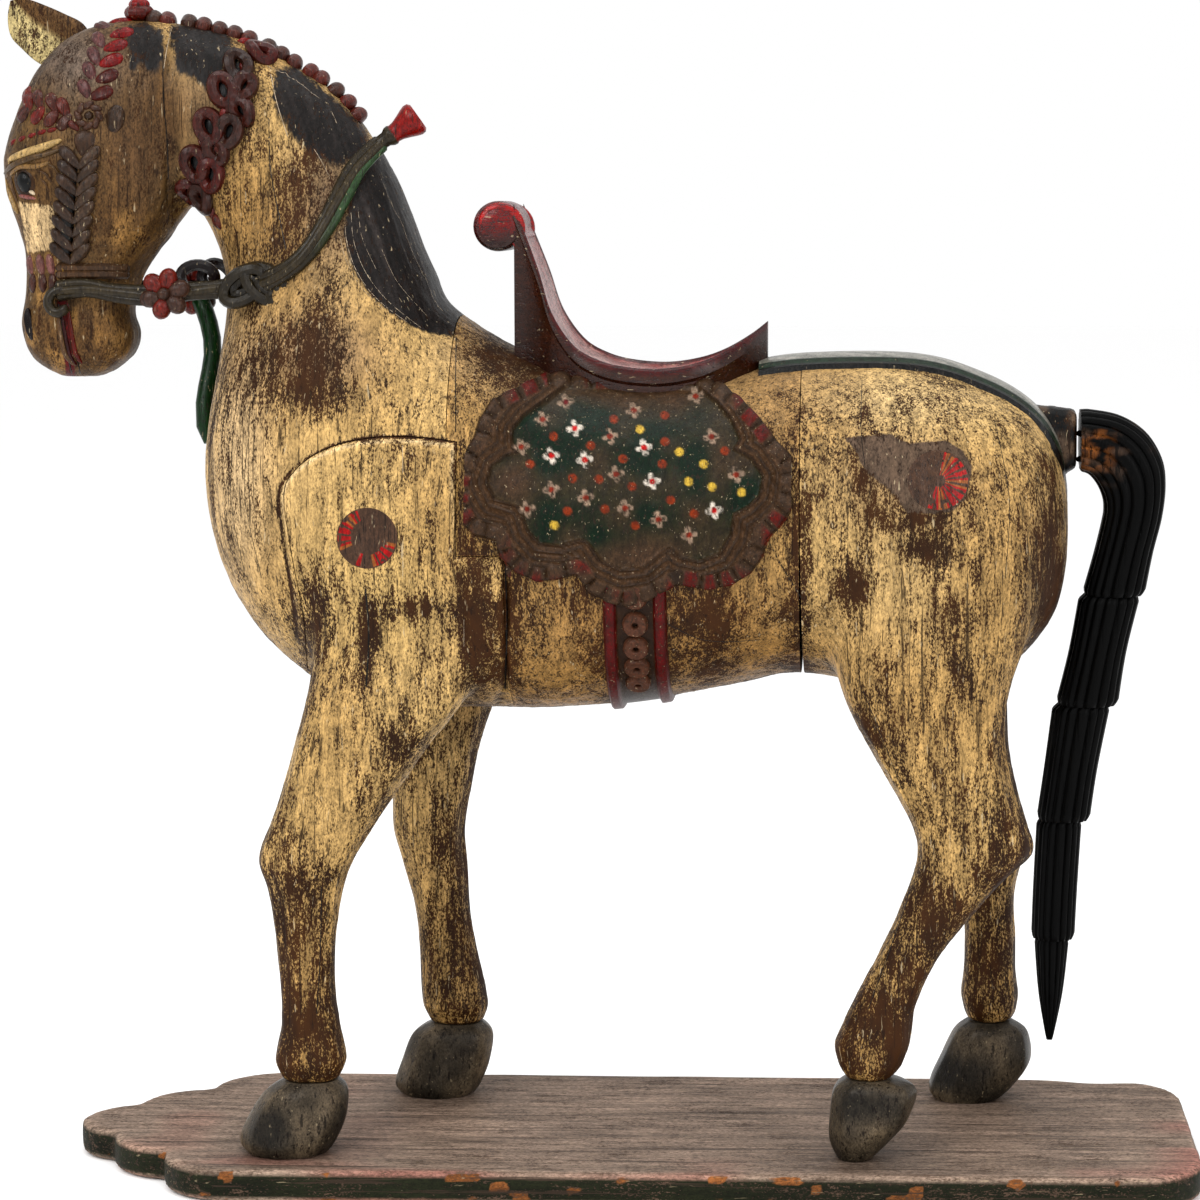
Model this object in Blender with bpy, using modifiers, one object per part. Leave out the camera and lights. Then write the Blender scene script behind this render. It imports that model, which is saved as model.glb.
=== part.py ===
"""A carved and painted wooden horse, saddled and bridled, walking on its base board.

The horse is joined from blocks of wood, as its seams show. It faces -X, its left side is towards -Y,
and the origin is at the centre of the board's underside.
"""

import math

import bmesh
import bpy
from mathutils import Matrix, Vector
from mathutils.bvhtree import BVHTree

# Driving dimensions, in metres
BOARD_LENGTH = 1.395
BOARD_WIDTH = 0.47
BOARD_THICKNESS = 0.04
BOARD_CORNER_RADIUS = 0.09
BOARD_EDGE_BEVEL = 0.004
BOARD_CUSPS = ((0.117, 0.285), (0.287, 0.626), (0.447, 1.0))  # shares of the width, of its half
LOBE_RISE = 0.19  # of a lobe's chord
HORSE_HEIGHT = 1.39  # from the board's top to the poll
FIT_GAP = 0.0004  # between pieces that touch
SEAM_GAP = 0.0012  # at the seams that show
REAR_SEAM_OPENING = 0.006  # at the foot of the rear seam, which has come apart
TAIL_SLIT = 0.004
CLOTH_RELIEF = 0.014  # the saddle cloth's border stands this proud
CLOTH_FIELD_RELIEF = 0.006
GIRTH_RELIEF = 0.008
CROUP_STRAP_RELIEF = 0.006

# One millimetre of the carved figure: its stations below are written for a horse 1390 mm tall
MM = HORSE_HEIGHT / 1390

# How finely the forms are cut
BODY_SIDES = 20
BODY_RING_PITCH = 60  # figure millimetres
LEG_SIDES = 10
BEAD_SIDES = 6
BEAD_RINGS = 3
FLAT_ANGLE = math.radians(2.5)
SHARP_ANGLE = math.radians(30)

# Figure stations, in figure millimetres: x from the board's centre, z above the board's top.
# Body: top x, z, underside x, z, half width, from the rump to the muzzle
BODY = (
    (537, 800, 537, 712, 58),
    (526, 855, 521, 645, 112),
    (495, 899, 480, 592, 152),
    (436, 934, 430, 562, 178),
    (350, 958, 345, 552, 192),
    (211, 958, 211, 572, 192),
    (120, 944, 120, 556, 195),
    (20, 936, 20, 538, 197),
    (-80, 950, -80, 528, 196),
    (-166, 984, -168, 527, 190),
    (-228, 1028, -330, 532, 178),
    (-248, 1070, -430, 588, 170),
    (-262, 1102, -494, 670, 160),
    (-276, 1140, -526, 770, 144),
    (-294, 1184, -528, 866, 122),
    (-320, 1230, -510, 966, 96),
    (-366, 1286, -502, 1034, 80),
    (-424, 1326, -510, 1088, 73),
    (-486, 1356, -528, 1130, 68),
    (-560, 1374, -545, 1149, 66),
    (-636, 1378, -552, 1145, 68),
    (-698, 1358, -558, 1137, 72),
    (-738, 1318, -568, 1124, 77),
    (-766, 1258, -580, 1107, 80),
    (-781, 1203, -594, 1089, 77),
    (-773, 1152, -608, 1068, 67),
    (-757, 1096, -618, 1042, 56),
    (-756, 1042, -622, 1014, 52),
    (-762, 1004, -615, 992, 54),
    (-754, 968, -622, 966, 49),
    (-733, 947, -645, 946, 36),
    (-712, 937, -666, 937, 20),
)
BODY_ROUNDNESS = 2.3
SIDE_REACH = 300  # figure millimetres, out beyond the figure's sides

# Legs: height, front x, back x, half width, distance of the middle from the centre plane
LEG_ROUNDNESS = 2.2
NEAR_FORELEG = (
    (780, -386, -214, 42, 128),
    (715, -383, -205, 52, 132),
    (640, -380, -162, 48, 128),
    (590, -386, -172, 53, 134),
    (545, -392, -196, 57, 140),
    (500, -402, -234, 53, 142),
    (452, -415, -268, 49, 144),
    (404, -431, -300, 46, 145),
    (359, -447, -328, 45, 145),
    (325, -437, -341, 39, 145),
    (276, -428, -350, 34, 145),
    (209, -421, -353, 32, 145),
    (155, -419, -347, 35, 145),
    (113, -428, -338, 42, 145),
    (89, -418, -350, 31, 145),
)
FAR_FORELEG = (
    (780, -386, -214, 42, 128),
    (715, -383, -205, 52, 132),
    (640, -380, -162, 48, 128),
    (590, -376, -168, 53, 134),
    (545, -366, -178, 57, 139),
    (499, -352, -193, 53, 140),
    (448, -336, -209, 49, 140),
    (397, -324, -219, 46, 140),
    (345, -322, -227, 44, 140),
    (294, -308, -224, 38, 140),
    (242, -294, -222, 34, 140),
    (191, -289, -214, 32, 140),
    (139, -287, -202, 38, 140),
    (114, -285, -198, 42, 140),
    (93, -274, -206, 31, 140),
)
NEAR_HIND_LEG = (
    (860, 345, 455, 40, 98),
    (798, 292, 498, 66, 116),
    (701, 264, 505, 74, 126),
    (628, 250, 488, 70, 132),
    (567, 256, 467, 64, 136),
    (507, 287, 459, 58, 139),
    (446, 323, 470, 51, 142),
    (404, 344, 486, 46, 144),
    (373, 352, 493, 43, 145),
    (337, 344, 457, 39, 145),
    (288, 324, 413, 35, 145),
    (234, 298, 374, 33, 145),
    (179, 270, 349, 35, 145),
    (137, 251, 345, 41, 145),
    (110, 258, 334, 38, 145),
    (97, 266, 322, 30, 145),
)
FAR_HIND_LEG = (
    (860, 345, 455, 40, 98),
    (798, 292, 498, 66, 116),
    (701, 264, 505, 74, 126),
    (628, 252, 492, 70, 132),
    (567, 270, 476, 64, 136),
    (507, 308, 472, 58, 138),
    (446, 348, 476, 51, 140),
    (390, 380, 488, 46, 140),
    (339, 400, 502, 43, 140),
    (300, 404, 490, 39, 140),
    (262, 412, 482, 35, 140),
    (216, 417, 483, 33, 140),
    (165, 416, 484, 34, 140),
    (135, 412, 488, 40, 140),
    (114, 417, 485, 38, 140),
    (101, 422, 478, 30, 140),
)

# Hooves: height, front x, back x, half width, set on below each leg's last station
NEAR_FORE_HOOF = ((74, -440, -338, 42), (42, -461, -340, 47), (13, -470, -352, 48), (0, -462, -364, 43))
FAR_FORE_HOOF = ((77, -298, -192, 42), (42, -312, -196, 47), (13, -320, -208, 48), (0, -312, -219, 43))
NEAR_HIND_HOOF = ((83, 251, 352, 42), (46, 246, 342, 46), (20, 247, 321, 40), (0, 256, 300, 30))
FAR_HIND_HOOF = ((86, 404, 499, 42), (48, 384, 503, 46), (14, 371, 480, 46), (0, 377, 462, 42))

# Seams, in figure millimetres
FRONT_SEAM_X = -212
REAR_SEAM_X = 211
SHOULDER_OUTLINE = (
    (-409, 803), (-396, 830), (-366, 853), (-322, 868), (-266, 873), (-199, 867),
    (-199, 731), (-142, 731), (-142, 440), (-470, 440), (-397, 560), (-389, 640),
)
SHOULDER_DEPTH = 72  # its inner face, from the centre plane

# Saddle cloth: lobes as x, z, radius about its middle
CLOTH_MIDDLE = (8, 822)
CLOTH_TOP = 927
CLOTH_LOBES = (
    (8, 822, 132), (-140, 838, 60), (-92, 896, 58), (-116, 762, 58), (-12, 738, 60),
    (94, 750, 58), (155, 815, 56), (125, 895, 60),
)
CLOTH_BORDER = 40
CLOTH_SCALLOPS = 32
SCALLOP_DEPTH = 6
GIRTH_FRONT_X = -21
GIRTH_BACK_X = 51
GIRTH_TOP = 700
CROUP_STRAP_HALF_WIDTH = 50
CROUP_STRAP_FRONT_X = 171
CROUP_STRAP_LOW = 830
REAR_SEAM_OPENS_AT = 760

# Saddle: x, seat height, half width, from the pommel back
SADDLE = (
    (-141, 1150, 62), (-126, 1112, 66), (-109, 1067, 74), (-93, 1018, 84), (-67, 980, 94), (-38, 962, 100),
    (-5, 953, 102), (39, 950, 102), (80, 956, 98), (113, 968, 84), (145, 987, 52), (168, 1005, 14),
)
SADDLE_FOOT = 800
SCROLL_CENTRE = (-161, 1124)
SCROLL_RADIUS = 31
SCROLL_HALF_WIDTH = 60
SCROLL_SIDES = 14
SCROLL_ROOT = ((-172, 1142), (-160, 1146), (-141, 1150), (-126, 1112), (-141, 1105), (-150, 1126))
SCROLL_ROOT_HALF_WIDTH = 58
SEAT_DISH = 3
SEAT_EDGE = 12

# Tail: x, z of its upper line and of its lower line, half width, from the dock down, tier by tier
TAIL_TIERS = (
    ((554, 899, 554, 822, 40), (600, 891, 565, 818, 42), (634, 870, 575, 806, 43), (654, 838, 582, 790, 43),
     (659, 805, 584, 776, 43), (655, 765, 582, 760, 42), (644, 720, 572, 718, 41), (634, 668, 558, 668, 42)),
    ((628, 664, 554, 664, 37), (612, 597, 542, 597, 36), (602, 531, 526, 531, 38)),
    ((592, 527, 522, 527, 33), (577, 450, 512, 450, 32), (568, 387, 503, 387, 34)),
    ((558, 383, 503, 383, 29), (553, 300, 499, 300, 27), (550, 238, 497, 238, 29)),
    ((543, 234, 501, 234, 23), (536, 170, 506, 170, 16), (524, 109, 516, 109, 4)),
)
TAIL_FLUTES = 9
FLUTE_DEPTH = 0.10  # as a share of the tail's half width
TAIL_ROUNDNESS = 2.4
DOCK_STUB = ((470, 905, 470, 820, 34), (520, 902, 530, 818, 32), (549, 898, 549, 824, 30))
DOCK_SIDES = 10
DOCK_ROUNDNESS = 3
TAIL_PIN_HEIGHTS = (868, 836)
TAIL_PIN_RADIUS = 4
TAIL_PIN_HOLD = 24  # within the tail

# Mane, braids and bridle: routes as x, z on the figure's side
CREST_ROUTE = ((-600, 1394), (-530, 1382), (-468, 1362), (-416, 1336), (-366, 1298), (-328, 1258))
CREST_BEADS = 13
CREST_BEAD = (21, 30, 22)
TOPKNOT = (-612, 1389)
TOPKNOT_SIZE = 34
POLL_BRAID_ROUTE = ((-612, 1372), (-634, 1338), (-652, 1302), (-661, 1268))
BROWBAND_ROUTE = ((-757, 1262), (-728, 1266), (-700, 1258), (-680, 1250))
CHEEK_BRAID_ROUTE = ((-690, 1212), (-694, 1160), (-697, 1110), (-700, 1066))
NOSEBAND_ROUTE = ((-748, 1040), (-730, 1038), (-712, 1040))
# Braids, each with its number of locks
BRAIDS = ((POLL_BRAID_ROUTE, 5), (BROWBAND_ROUTE, 3), (CHEEK_BRAID_ROUTE, 6), (NOSEBAND_ROUTE, 2))
BRAID_HALF_WIDTH = 17
BRAID_HEIGHT = 8
BRAID_SECTION = ((-1, -0.6), (-0.6, 1), (0, 0.6), (0.6, 1), (1, -0.6))
ROSETTES = ((-662, 1244), (-636, 1240))
ROSETTE_SIZE = 30
NECK_BRAID_ROUTE = (
    (-462, 1338), (-470, 1300), (-494, 1250), (-514, 1200), (-526, 1160), (-524, 1122),
)
NECK_BRAID_SWING = 16
NECK_BRAID_TURNS = 3
STRAND_RADIUS = 9
EYE = (-738, 1176)
EYE_SIZE = (24, 16, 16)
BROW_ROUTE = ((-776, 1196), (-752, 1212), (-724, 1226), (-700, 1234))
BROW_POINTS = 5
BROW_RADIUS = 7
NOSTRIL = (-742, 1000)
NOSTRIL_SIZE = (30, 22, 14)
MOUTH_X = -703
MOUTH_TOP = 1030
MOUTH_WIDTH = 5
MOUTH_FOOT = 920
MOUTH_SLANT = 8
MUZZLE_HALF_WIDTH = 52
MOUTH_DEPTH = 12

# Ear: x, y, z of the middle, breadth, thickness, from its root to its tip
EAR = (
    (-700, 34, 1334, 60, 30), (-722, 44, 1353, 76, 28), (-745, 52, 1368, 70, 22),
    (-764, 57, 1381, 60, 17), (-778, 61, 1397, 36, 12), (-786, 63, 1409, 8, 6),
)
EAR_SIDES = 10
EAR_LEAN = (0.78, 0.0, 0.62)
EAR_FACING = (-0.5, -0.75, 0.45)
EAR_DISH = 0.45

# Reins: x, distance from the centre plane, z
REIN_ROUTE = (
    (-706, 50, 1044), (-668, 64, 1048), (-630, 74, 1043), (-592, 80, 1040), (-562, 84, 1042), (-520, 84, 1046),
    (-482, 84, 1049), (-442, 92, 1052), (-405, 98, 1066), (-380, 98, 1088), (-364, 94, 1120), (-347, 86, 1160),
    (-330, 76, 1196), (-300, 62, 1228),
)
REIN_RADIUS = 10
REIN_STANDS_OUT = 0.5  # of its radius, at least
REIN_KNOT = (-442, 96, 1052)
REIN_KNOT_BEAD = (54, 22, 26)
REIN_KNOT_STEP = 20
REIN_KNOT_SLANT = 0.6
REIN_FLOWER = (-564, 92, 1042)
FLOWER_PETALS = 7
FLOWER_RADIUS = 27
KNOB_END = (-256, 58, 1257)
KNOB_RADIUS = 24
KNOB_SIDES = 10
HANGING_STRAP_ROUTE = ((-560, 84, 1040), (-544, 78, 1000), (-538, 70, 960), (-546, 56, 900), (-541, 44, 850))
FAR_REIN_POINTS = 12

COLOURS = {
    "base_board": ((0.16, 0.115, 0.09), 0.8),
    "forehand": ((0.47, 0.33, 0.13), 0.55),
    "barrel": ((0.30, 0.20, 0.09), 0.6),
    "hindquarters": ((0.47, 0.33, 0.13), 0.55),
    "foreleg_left": ((0.45, 0.31, 0.12), 0.55),
    "foreleg_right": ((0.45, 0.31, 0.12), 0.55),
    "saddle": ((0.28, 0.03, 0.02), 0.4),
    "tail": ((0.02, 0.02, 0.022), 0.5),
}


def clear_scene():
    for obj in list(bpy.data.objects):
        bpy.data.objects.remove(obj, do_unlink=True)


def on_figure(x, y, z):
    """A point of the figure, from figure millimetres to metres on the board."""
    return Vector((x * MM, y * MM, BOARD_THICKNESS + FIT_GAP + z * MM))


def mesh_object(name, bm, collection):
    """An object from closed shapes in bm, in triangles, which Booleans cut cleanly."""
    bmesh.ops.triangulate(bm, faces=bm.faces)
    bmesh.ops.recalc_face_normals(bm, faces=bm.faces)
    mesh = bpy.data.meshes.new(name)
    bm.to_mesh(mesh)
    bm.free()
    obj = bpy.data.objects.new(name, mesh)
    collection.objects.link(obj)
    return obj


def is_closed(mesh):
    """Whether every edge of the mesh has just two faces."""
    bm = bmesh.new()
    bm.from_mesh(mesh)
    closed = all(edge.is_manifold for edge in bm.edges)
    bm.free()
    return closed


def combine(obj, other, operation):
    """Applies one Boolean to obj, exact where that leaves it closed, and removes the other object."""
    modifier = obj.modifiers.new(operation.lower(), "BOOLEAN")
    modifier.operation = operation
    modifier.use_self = operation == "UNION"
    modifier.object = other
    for solver in ("EXACT", "MANIFOLD"):
        modifier.solver = solver
        evaluated = obj.evaluated_get(bpy.context.evaluated_depsgraph_get())
        mesh = bpy.data.meshes.new_from_object(evaluated)
        if is_closed(mesh):
            break
    obj.modifiers.clear()
    obj.data = mesh
    bpy.data.objects.remove(other, do_unlink=True)
    return obj


def through_rows(rows, pitch):
    """The rows with more between them on a Catmull-Rom curve, so that none is much over the pitch apart."""
    result = []
    for i in range(len(rows) - 1):
        before, start, end, after = (rows[min(max(k, 0), len(rows) - 1)] for k in (i - 1, i, i + 1, i + 2))
        span = max(math.dist(start[:2], end[:2]), math.dist(start[2:4], end[2:4]))
        steps = max(1, round(span / pitch))
        for k in range(steps):
            t = k / steps
            result.append(tuple(
                b + 0.5 * t * (c - a + t * (2 * a - 5 * b + 4 * c - d + t * (3 * (b - c) + d - a)))
                for a, b, c, d in zip(before, start, end, after)
            ))
    result.append(rows[-1])
    return result


def section(top, bottom, half_width, middle_y, sides, roundness, flute=0.0):
    """A closed ring, a superellipse in the plane of the Y direction and the line from top to bottom."""
    middle = (top + bottom) / 2
    half = (top - bottom) / 2
    ring = []
    for i in range(sides):
        angle = 2 * math.pi * (i + 0.5) / sides
        c, s = math.cos(angle), math.sin(angle)
        reach = 1 - flute * (i % 2)
        u = math.copysign(abs(c) ** (2 / roundness), c) * reach
        v = math.copysign(abs(s) ** (2 / roundness), s) * reach
        ring.append(middle + half * u + Vector((0, middle_y + half_width * v, 0)))
    return ring


def loft(name, rings, collection):
    """A closed solid through rings of equal count, with a flat cap at each end."""
    bm = bmesh.new()
    loops = [[bm.verts.new(point) for point in ring] for ring in rings]
    for first, second in zip(loops, loops[1:]):
        for i in range(len(first)):
            j = (i + 1) % len(first)
            bm.faces.new((first[i], first[j], second[j], second[i]))
    bm.faces.new(loops[0])
    bm.faces.new(loops[-1])
    return mesh_object(name, bm, collection)


def prism(name, outline, low_y, high_y, collection):
    """An outline in the XZ plane, extruded along Y."""
    bm = bmesh.new()
    face = bm.faces.new([bm.verts.new((x, low_y, z)) for x, z in outline])
    side = bmesh.ops.extrude_face_region(bm, geom=[face])["geom"]
    moved = [v for v in side if isinstance(v, bmesh.types.BMVert)]
    bmesh.ops.translate(bm, vec=(0, high_y - low_y, 0), verts=moved)
    return mesh_object(name, bm, collection)


def box(name, low, high, collection):
    bm = bmesh.new()
    bmesh.ops.create_cube(bm, size=1)
    bmesh.ops.scale(bm, vec=high - low, verts=bm.verts)
    bmesh.ops.translate(bm, vec=(low + high) / 2, verts=bm.verts)
    return mesh_object(name, bm, collection)


def offset_outline(outline, distance):
    """The closed outline moved outwards by a distance at each corner."""
    points = [Vector(p) for p in outline]
    area = sum(a.x * b.y - b.x * a.y for a, b in zip(points, points[1:] + points[:1]))
    turn = math.copysign(1, area)
    moved = []
    for i, point in enumerate(points):
        first = (point - points[i - 1]).normalized()
        second = (points[(i + 1) % len(points)] - point).normalized()
        normal = Vector((first.y + second.y, -first.x - second.x)).normalized() * turn
        square = max(0.3, normal.dot(Vector((first.y, -first.x)) * turn))
        moved.append(point + normal * (distance / square))
    return [tuple(p) for p in moved]


def body_rings(grow=0.0):
    """The rings of rump, barrel, chest, neck and head, made larger all round by a number of metres."""
    rings = []
    for top_x, top_z, low_x, low_z, half_width in through_rows(BODY, BODY_RING_PITCH):
        top, bottom = on_figure(top_x, 0, top_z), on_figure(low_x, 0, low_z)
        away = (top - bottom).normalized() * grow
        rings.append(section(top + away, bottom - away, half_width * MM + grow, 0, BODY_SIDES, BODY_ROUNDNESS))
    return rings


def between(obj, first_x, last_x, collection):
    """Keeps the stretch of an object between two x values in metres."""
    reach = HORSE_HEIGHT
    slab = box("slab", Vector((first_x, -reach, -reach)), Vector((last_x, reach, 2 * reach)), collection)
    return combine(obj, slab, "INTERSECT")


def leg(name, stations, hoof, side, collection):
    """A leg with its hoof, its middle on one side of the centre plane."""
    middle = stations[-1][4]
    rings = []
    for row in tuple(stations) + tuple(step + (middle,) for step in hoof):
        height, front, back, half_width, out = row
        rings.append(section(on_figure(front, 0, height), on_figure(back, 0, height), half_width * MM,
                             side * out * MM, LEG_SIDES, LEG_ROUNDNESS))
    return loft(name, rings, collection)


def spaced(route, count):
    """Points at equal steps along a route of straight runs, ends included."""
    points = [Vector(p) for p in route]
    lengths = [(b - a).length for a, b in zip(points, points[1:])]
    result = []
    for k in range(count):
        left = sum(lengths) * k / (count - 1)
        i = 0
        while i < len(lengths) - 1 and left > lengths[i]:
            left -= lengths[i]
            i += 1
        result.append(points[i].lerp(points[i + 1], left / lengths[i]))
    return result


def on_side(tree, x, z, side):
    """The point and normal of the body's surface at x, z in figure millimetres, seen from one side."""
    start = on_figure(x, side * SIDE_REACH, z)
    hit, normal, _, _ = tree.ray_cast(start, Vector((0, -side, 0)))
    if hit is None:
        hit, normal, _, _ = tree.find_nearest(on_figure(x, 0, z))
    return hit, normal


def add_bead(bm, centre, normal, along, size):
    """One carved bead, an ellipsoid of length along, breadth and height in figure millimetres."""
    across = normal.cross(along).normalized()
    along = across.cross(normal).normalized()
    length, breadth, height = (s * MM / 2 for s in size)
    frame = Matrix((along * length, across * breadth, normal * height)).transposed().to_4x4()
    frame.translation = centre
    bmesh.ops.create_uvsphere(bm, u_segments=BEAD_SIDES, v_segments=BEAD_RINGS, radius=1, matrix=frame)


def braid(tree, route, count, side, collection):
    """A plait along a route on the body's side: one strip, swelling at each lock, with its locks in a V."""
    rings = []
    places = spaced(route, 2 * count + 1)
    for i, place in enumerate(places):
        ahead = places[min(i + 1, 2 * count)] - places[max(i - 1, 0)]
        hit, normal = on_side(tree, place.x, place.y, side)
        run = Vector((ahead.x, 0, ahead.y)).normalized()
        across = normal.cross(run).normalized()
        run = across.cross(normal)
        swell = 1 if i % 2 else 0.66
        ring = []
        for u, lift in BRAID_SECTION:
            back = run * (0.7 * BRAID_HALF_WIDTH * MM * (0.5 - abs(u))) if 0 < i < 2 * count else Vector()
            out = across * (u * BRAID_HALF_WIDTH * MM * (0.6 + 0.4 * swell))
            ring.append(hit + out + back + normal * (lift * BRAID_HEIGHT * MM * (swell if lift > 0 else 1)))
        rings.append(ring)
    return loft("braid", rings, collection)


def tube(name, points, radius, collection, rounding=1):
    """A round bar along points, a curve made into a closed mesh, with 4 sides and 2 more for each rounding."""
    curve = bpy.data.curves.new(name, "CURVE")
    curve.dimensions = "3D"
    curve.bevel_depth = radius
    curve.bevel_resolution = rounding
    curve.use_fill_caps = True
    spline = curve.splines.new("POLY")
    spline.points.add(len(points) - 1)
    for target, point in zip(spline.points, points):
        target.co = (*point, 1)
    obj = bpy.data.objects.new(name + "_curve", curve)
    collection.objects.link(obj)
    mesh = bpy.data.meshes.new_from_object(obj.evaluated_get(bpy.context.evaluated_depsgraph_get()))
    bpy.data.objects.remove(obj, do_unlink=True)
    bm = bmesh.new()
    bm.from_mesh(mesh)
    bmesh.ops.remove_doubles(bm, verts=bm.verts, dist=radius * 0.01)
    return mesh_object(name, bm, collection)


def neck_braid_strand(tree, side, phase, collection):
    """One strand of the chain braid on the neck, swinging across its route."""
    count = 4 * NECK_BRAID_TURNS - 1
    points = []
    for i, place in enumerate(spaced(NECK_BRAID_ROUTE, count)):
        swing = NECK_BRAID_SWING * math.cos(math.pi * (i / 2 + 0.25) + phase)
        hit, normal = on_side(tree, place.x + swing, place.y + swing * 0.3, side)
        points.append(hit + normal * STRAND_RADIUS * MM * 0.3)
    return tube("strand", points, STRAND_RADIUS * MM, collection, rounding=0)


def bridle_beads(tree, collection):
    """The mane beads, top-knot, browband, braids, rosettes, eyes and nostrils."""
    bm = bmesh.new()
    crest = spaced(CREST_ROUTE, CREST_BEADS)
    for i, place in enumerate(crest):
        hit, normal, _, _ = tree.find_nearest(on_figure(place.x, 0, place.y))
        ahead = crest[min(i + 1, CREST_BEADS - 1)] - crest[max(i - 1, 0)]
        add_bead(bm, hit, normal, Vector((ahead.x, 0, ahead.y)), CREST_BEAD)
    knot = on_figure(TOPKNOT[0], 0, TOPKNOT[1])
    add_bead(bm, knot, Vector((0, 0, 1)), Vector((1, 0, 0)), (TOPKNOT_SIZE,) * 3)
    for side in (-1, 1):
        for x, z in ROSETTES:
            hit, normal = on_side(tree, x, z, side)
            add_bead(bm, hit, normal, Vector((1, 0, 0)), (ROSETTE_SIZE, ROSETTE_SIZE, ROSETTE_SIZE * 0.6))
        hit, normal = on_side(tree, *EYE, side)
        add_bead(bm, hit - normal * 3 * MM, normal, Vector((0.3, 0, 1)), EYE_SIZE)
        hit, normal = on_side(tree, *NOSTRIL, side)
        add_bead(bm, hit, normal, Vector((0.3, 0, 1)), NOSTRIL_SIZE)
    return mesh_object("beads", bm, collection)


def flower(side, collection):
    """The petalled boss on a rein, a lobed disc that rises to its middle."""
    centre = on_figure(REIN_FLOWER[0], side * REIN_FLOWER[1], REIN_FLOWER[2])
    rings = []
    for share, lift in ((0.9, -8), (1, 4), (0.62, 11), (0.3, 13)):
        ring = []
        for k in range(2 * FLOWER_PETALS):
            angle = math.pi * k / FLOWER_PETALS
            reach = FLOWER_RADIUS * MM * share * (1 - 0.22 * (k % 2) * (share > 0.5))
            ring.append(centre + Vector((reach * math.cos(angle), side * lift * MM, reach * math.sin(angle))))
        rings.append(ring)
    return loft("flower", rings, collection)


def lifted(tree, point, radius):
    """The point, moved out to where a bar of this radius shows on the body, if it lies deeper."""
    hit, normal, _, _ = tree.find_nearest(point)
    least = radius * REIN_STANDS_OUT
    return hit + normal * least if (point - hit).dot(normal) < least else point


def rein(tree, side, collection):
    """One rein with its flower and its knot, the near one with its flared knob, the far one with a strap."""
    radius = REIN_RADIUS * MM
    route = REIN_ROUTE if side < 0 else REIN_ROUTE[:FAR_REIN_POINTS]
    points = [lifted(tree, on_figure(x, side * y, z), radius) for x, y, z in route]
    result = tube("rein", points, radius, collection)
    combine(result, flower(side, collection), "UNION")
    bm = bmesh.new()
    outward = Vector((0, side, 0))
    knot = on_figure(REIN_KNOT[0], side * REIN_KNOT[1], REIN_KNOT[2])
    for k in (-1, 0, 1):
        slant = REIN_KNOT_SLANT if k else -REIN_KNOT_SLANT
        middle = knot + Vector((k * REIN_KNOT_STEP * MM, 0, 0))
        add_bead(bm, middle, outward, Vector((1, 0, slant)), REIN_KNOT_BEAD)
    combine(result, mesh_object("knotwork", bm, collection), "UNION")
    if side < 0:
        end = points[-1]
        far = on_figure(KNOB_END[0], side * KNOB_END[1], KNOB_END[2])
        bm = bmesh.new()
        axis = (far - end).normalized()
        turn = axis.to_track_quat("Z", "Y").to_matrix().to_4x4()
        length = (far - end).length + 2 * radius
        turn.translation = far - axis * length / 2
        bmesh.ops.create_cone(bm, cap_ends=True, segments=KNOB_SIDES, radius1=radius * 0.8,
                              radius2=KNOB_RADIUS * MM, depth=length, matrix=turn)
        combine(result, mesh_object("knob", bm, collection), "UNION")
    else:
        points = [lifted(tree, on_figure(x, y, z), radius) for x, y, z in HANGING_STRAP_ROUTE]
        combine(result, tube("strap", points, radius, collection), "UNION")
    return result


def ear(collection):
    """The one ear that is left, a leaf with a hollow face, on the right side."""
    lean = Vector(EAR_LEAN).normalized()
    facing = Vector(EAR_FACING).normalized()
    rings = []
    for x, y, z, breadth, thickness in EAR:
        middle = on_figure(x, y, z)
        ring = []
        for i in range(EAR_SIDES):
            angle = 2 * math.pi * i / EAR_SIDES
            out, fore = math.cos(angle), math.sin(angle)
            dish = EAR_DISH if fore > 0 else 1.0
            ring.append(middle + lean * out * breadth * MM / 2 + facing * fore * dish * thickness * MM / 2)
        rings.append(ring)
    return loft("ear", rings, collection)


def mouth_slit(side, collection):
    """The slit of the mouth, a groove up one side of the muzzle."""
    half = MOUTH_WIDTH / 2
    upper = MOUTH_X - MOUTH_SLANT
    outline = [(MOUTH_X - half, MOUTH_FOOT), (MOUTH_X + half, MOUTH_FOOT), (upper + half, MOUTH_TOP),
               (upper - half, MOUTH_TOP)]
    points = [(on_figure(x, 0, z).x, on_figure(x, 0, z).z) for x, z in outline]
    near, far = side * (MUZZLE_HALF_WIDTH - MOUTH_DEPTH) * MM, side * 2 * MUZZLE_HALF_WIDTH * MM
    return prism("mouth", points, min(near, far), max(near, far), collection)


def shoulder_prism(side, grow, collection):
    """The block outline of a foreleg's shoulder panel, from its inner face outwards."""
    outline = [(on_figure(x, 0, z).x, on_figure(x, 0, z).z) for x, z in SHOULDER_OUTLINE]
    inner, outer = SHOULDER_DEPTH * MM - grow, SIDE_REACH * MM
    low, high = sorted((side * inner, side * outer))
    return prism("shoulder", offset_outline(outline, grow), low, high, collection)


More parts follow.
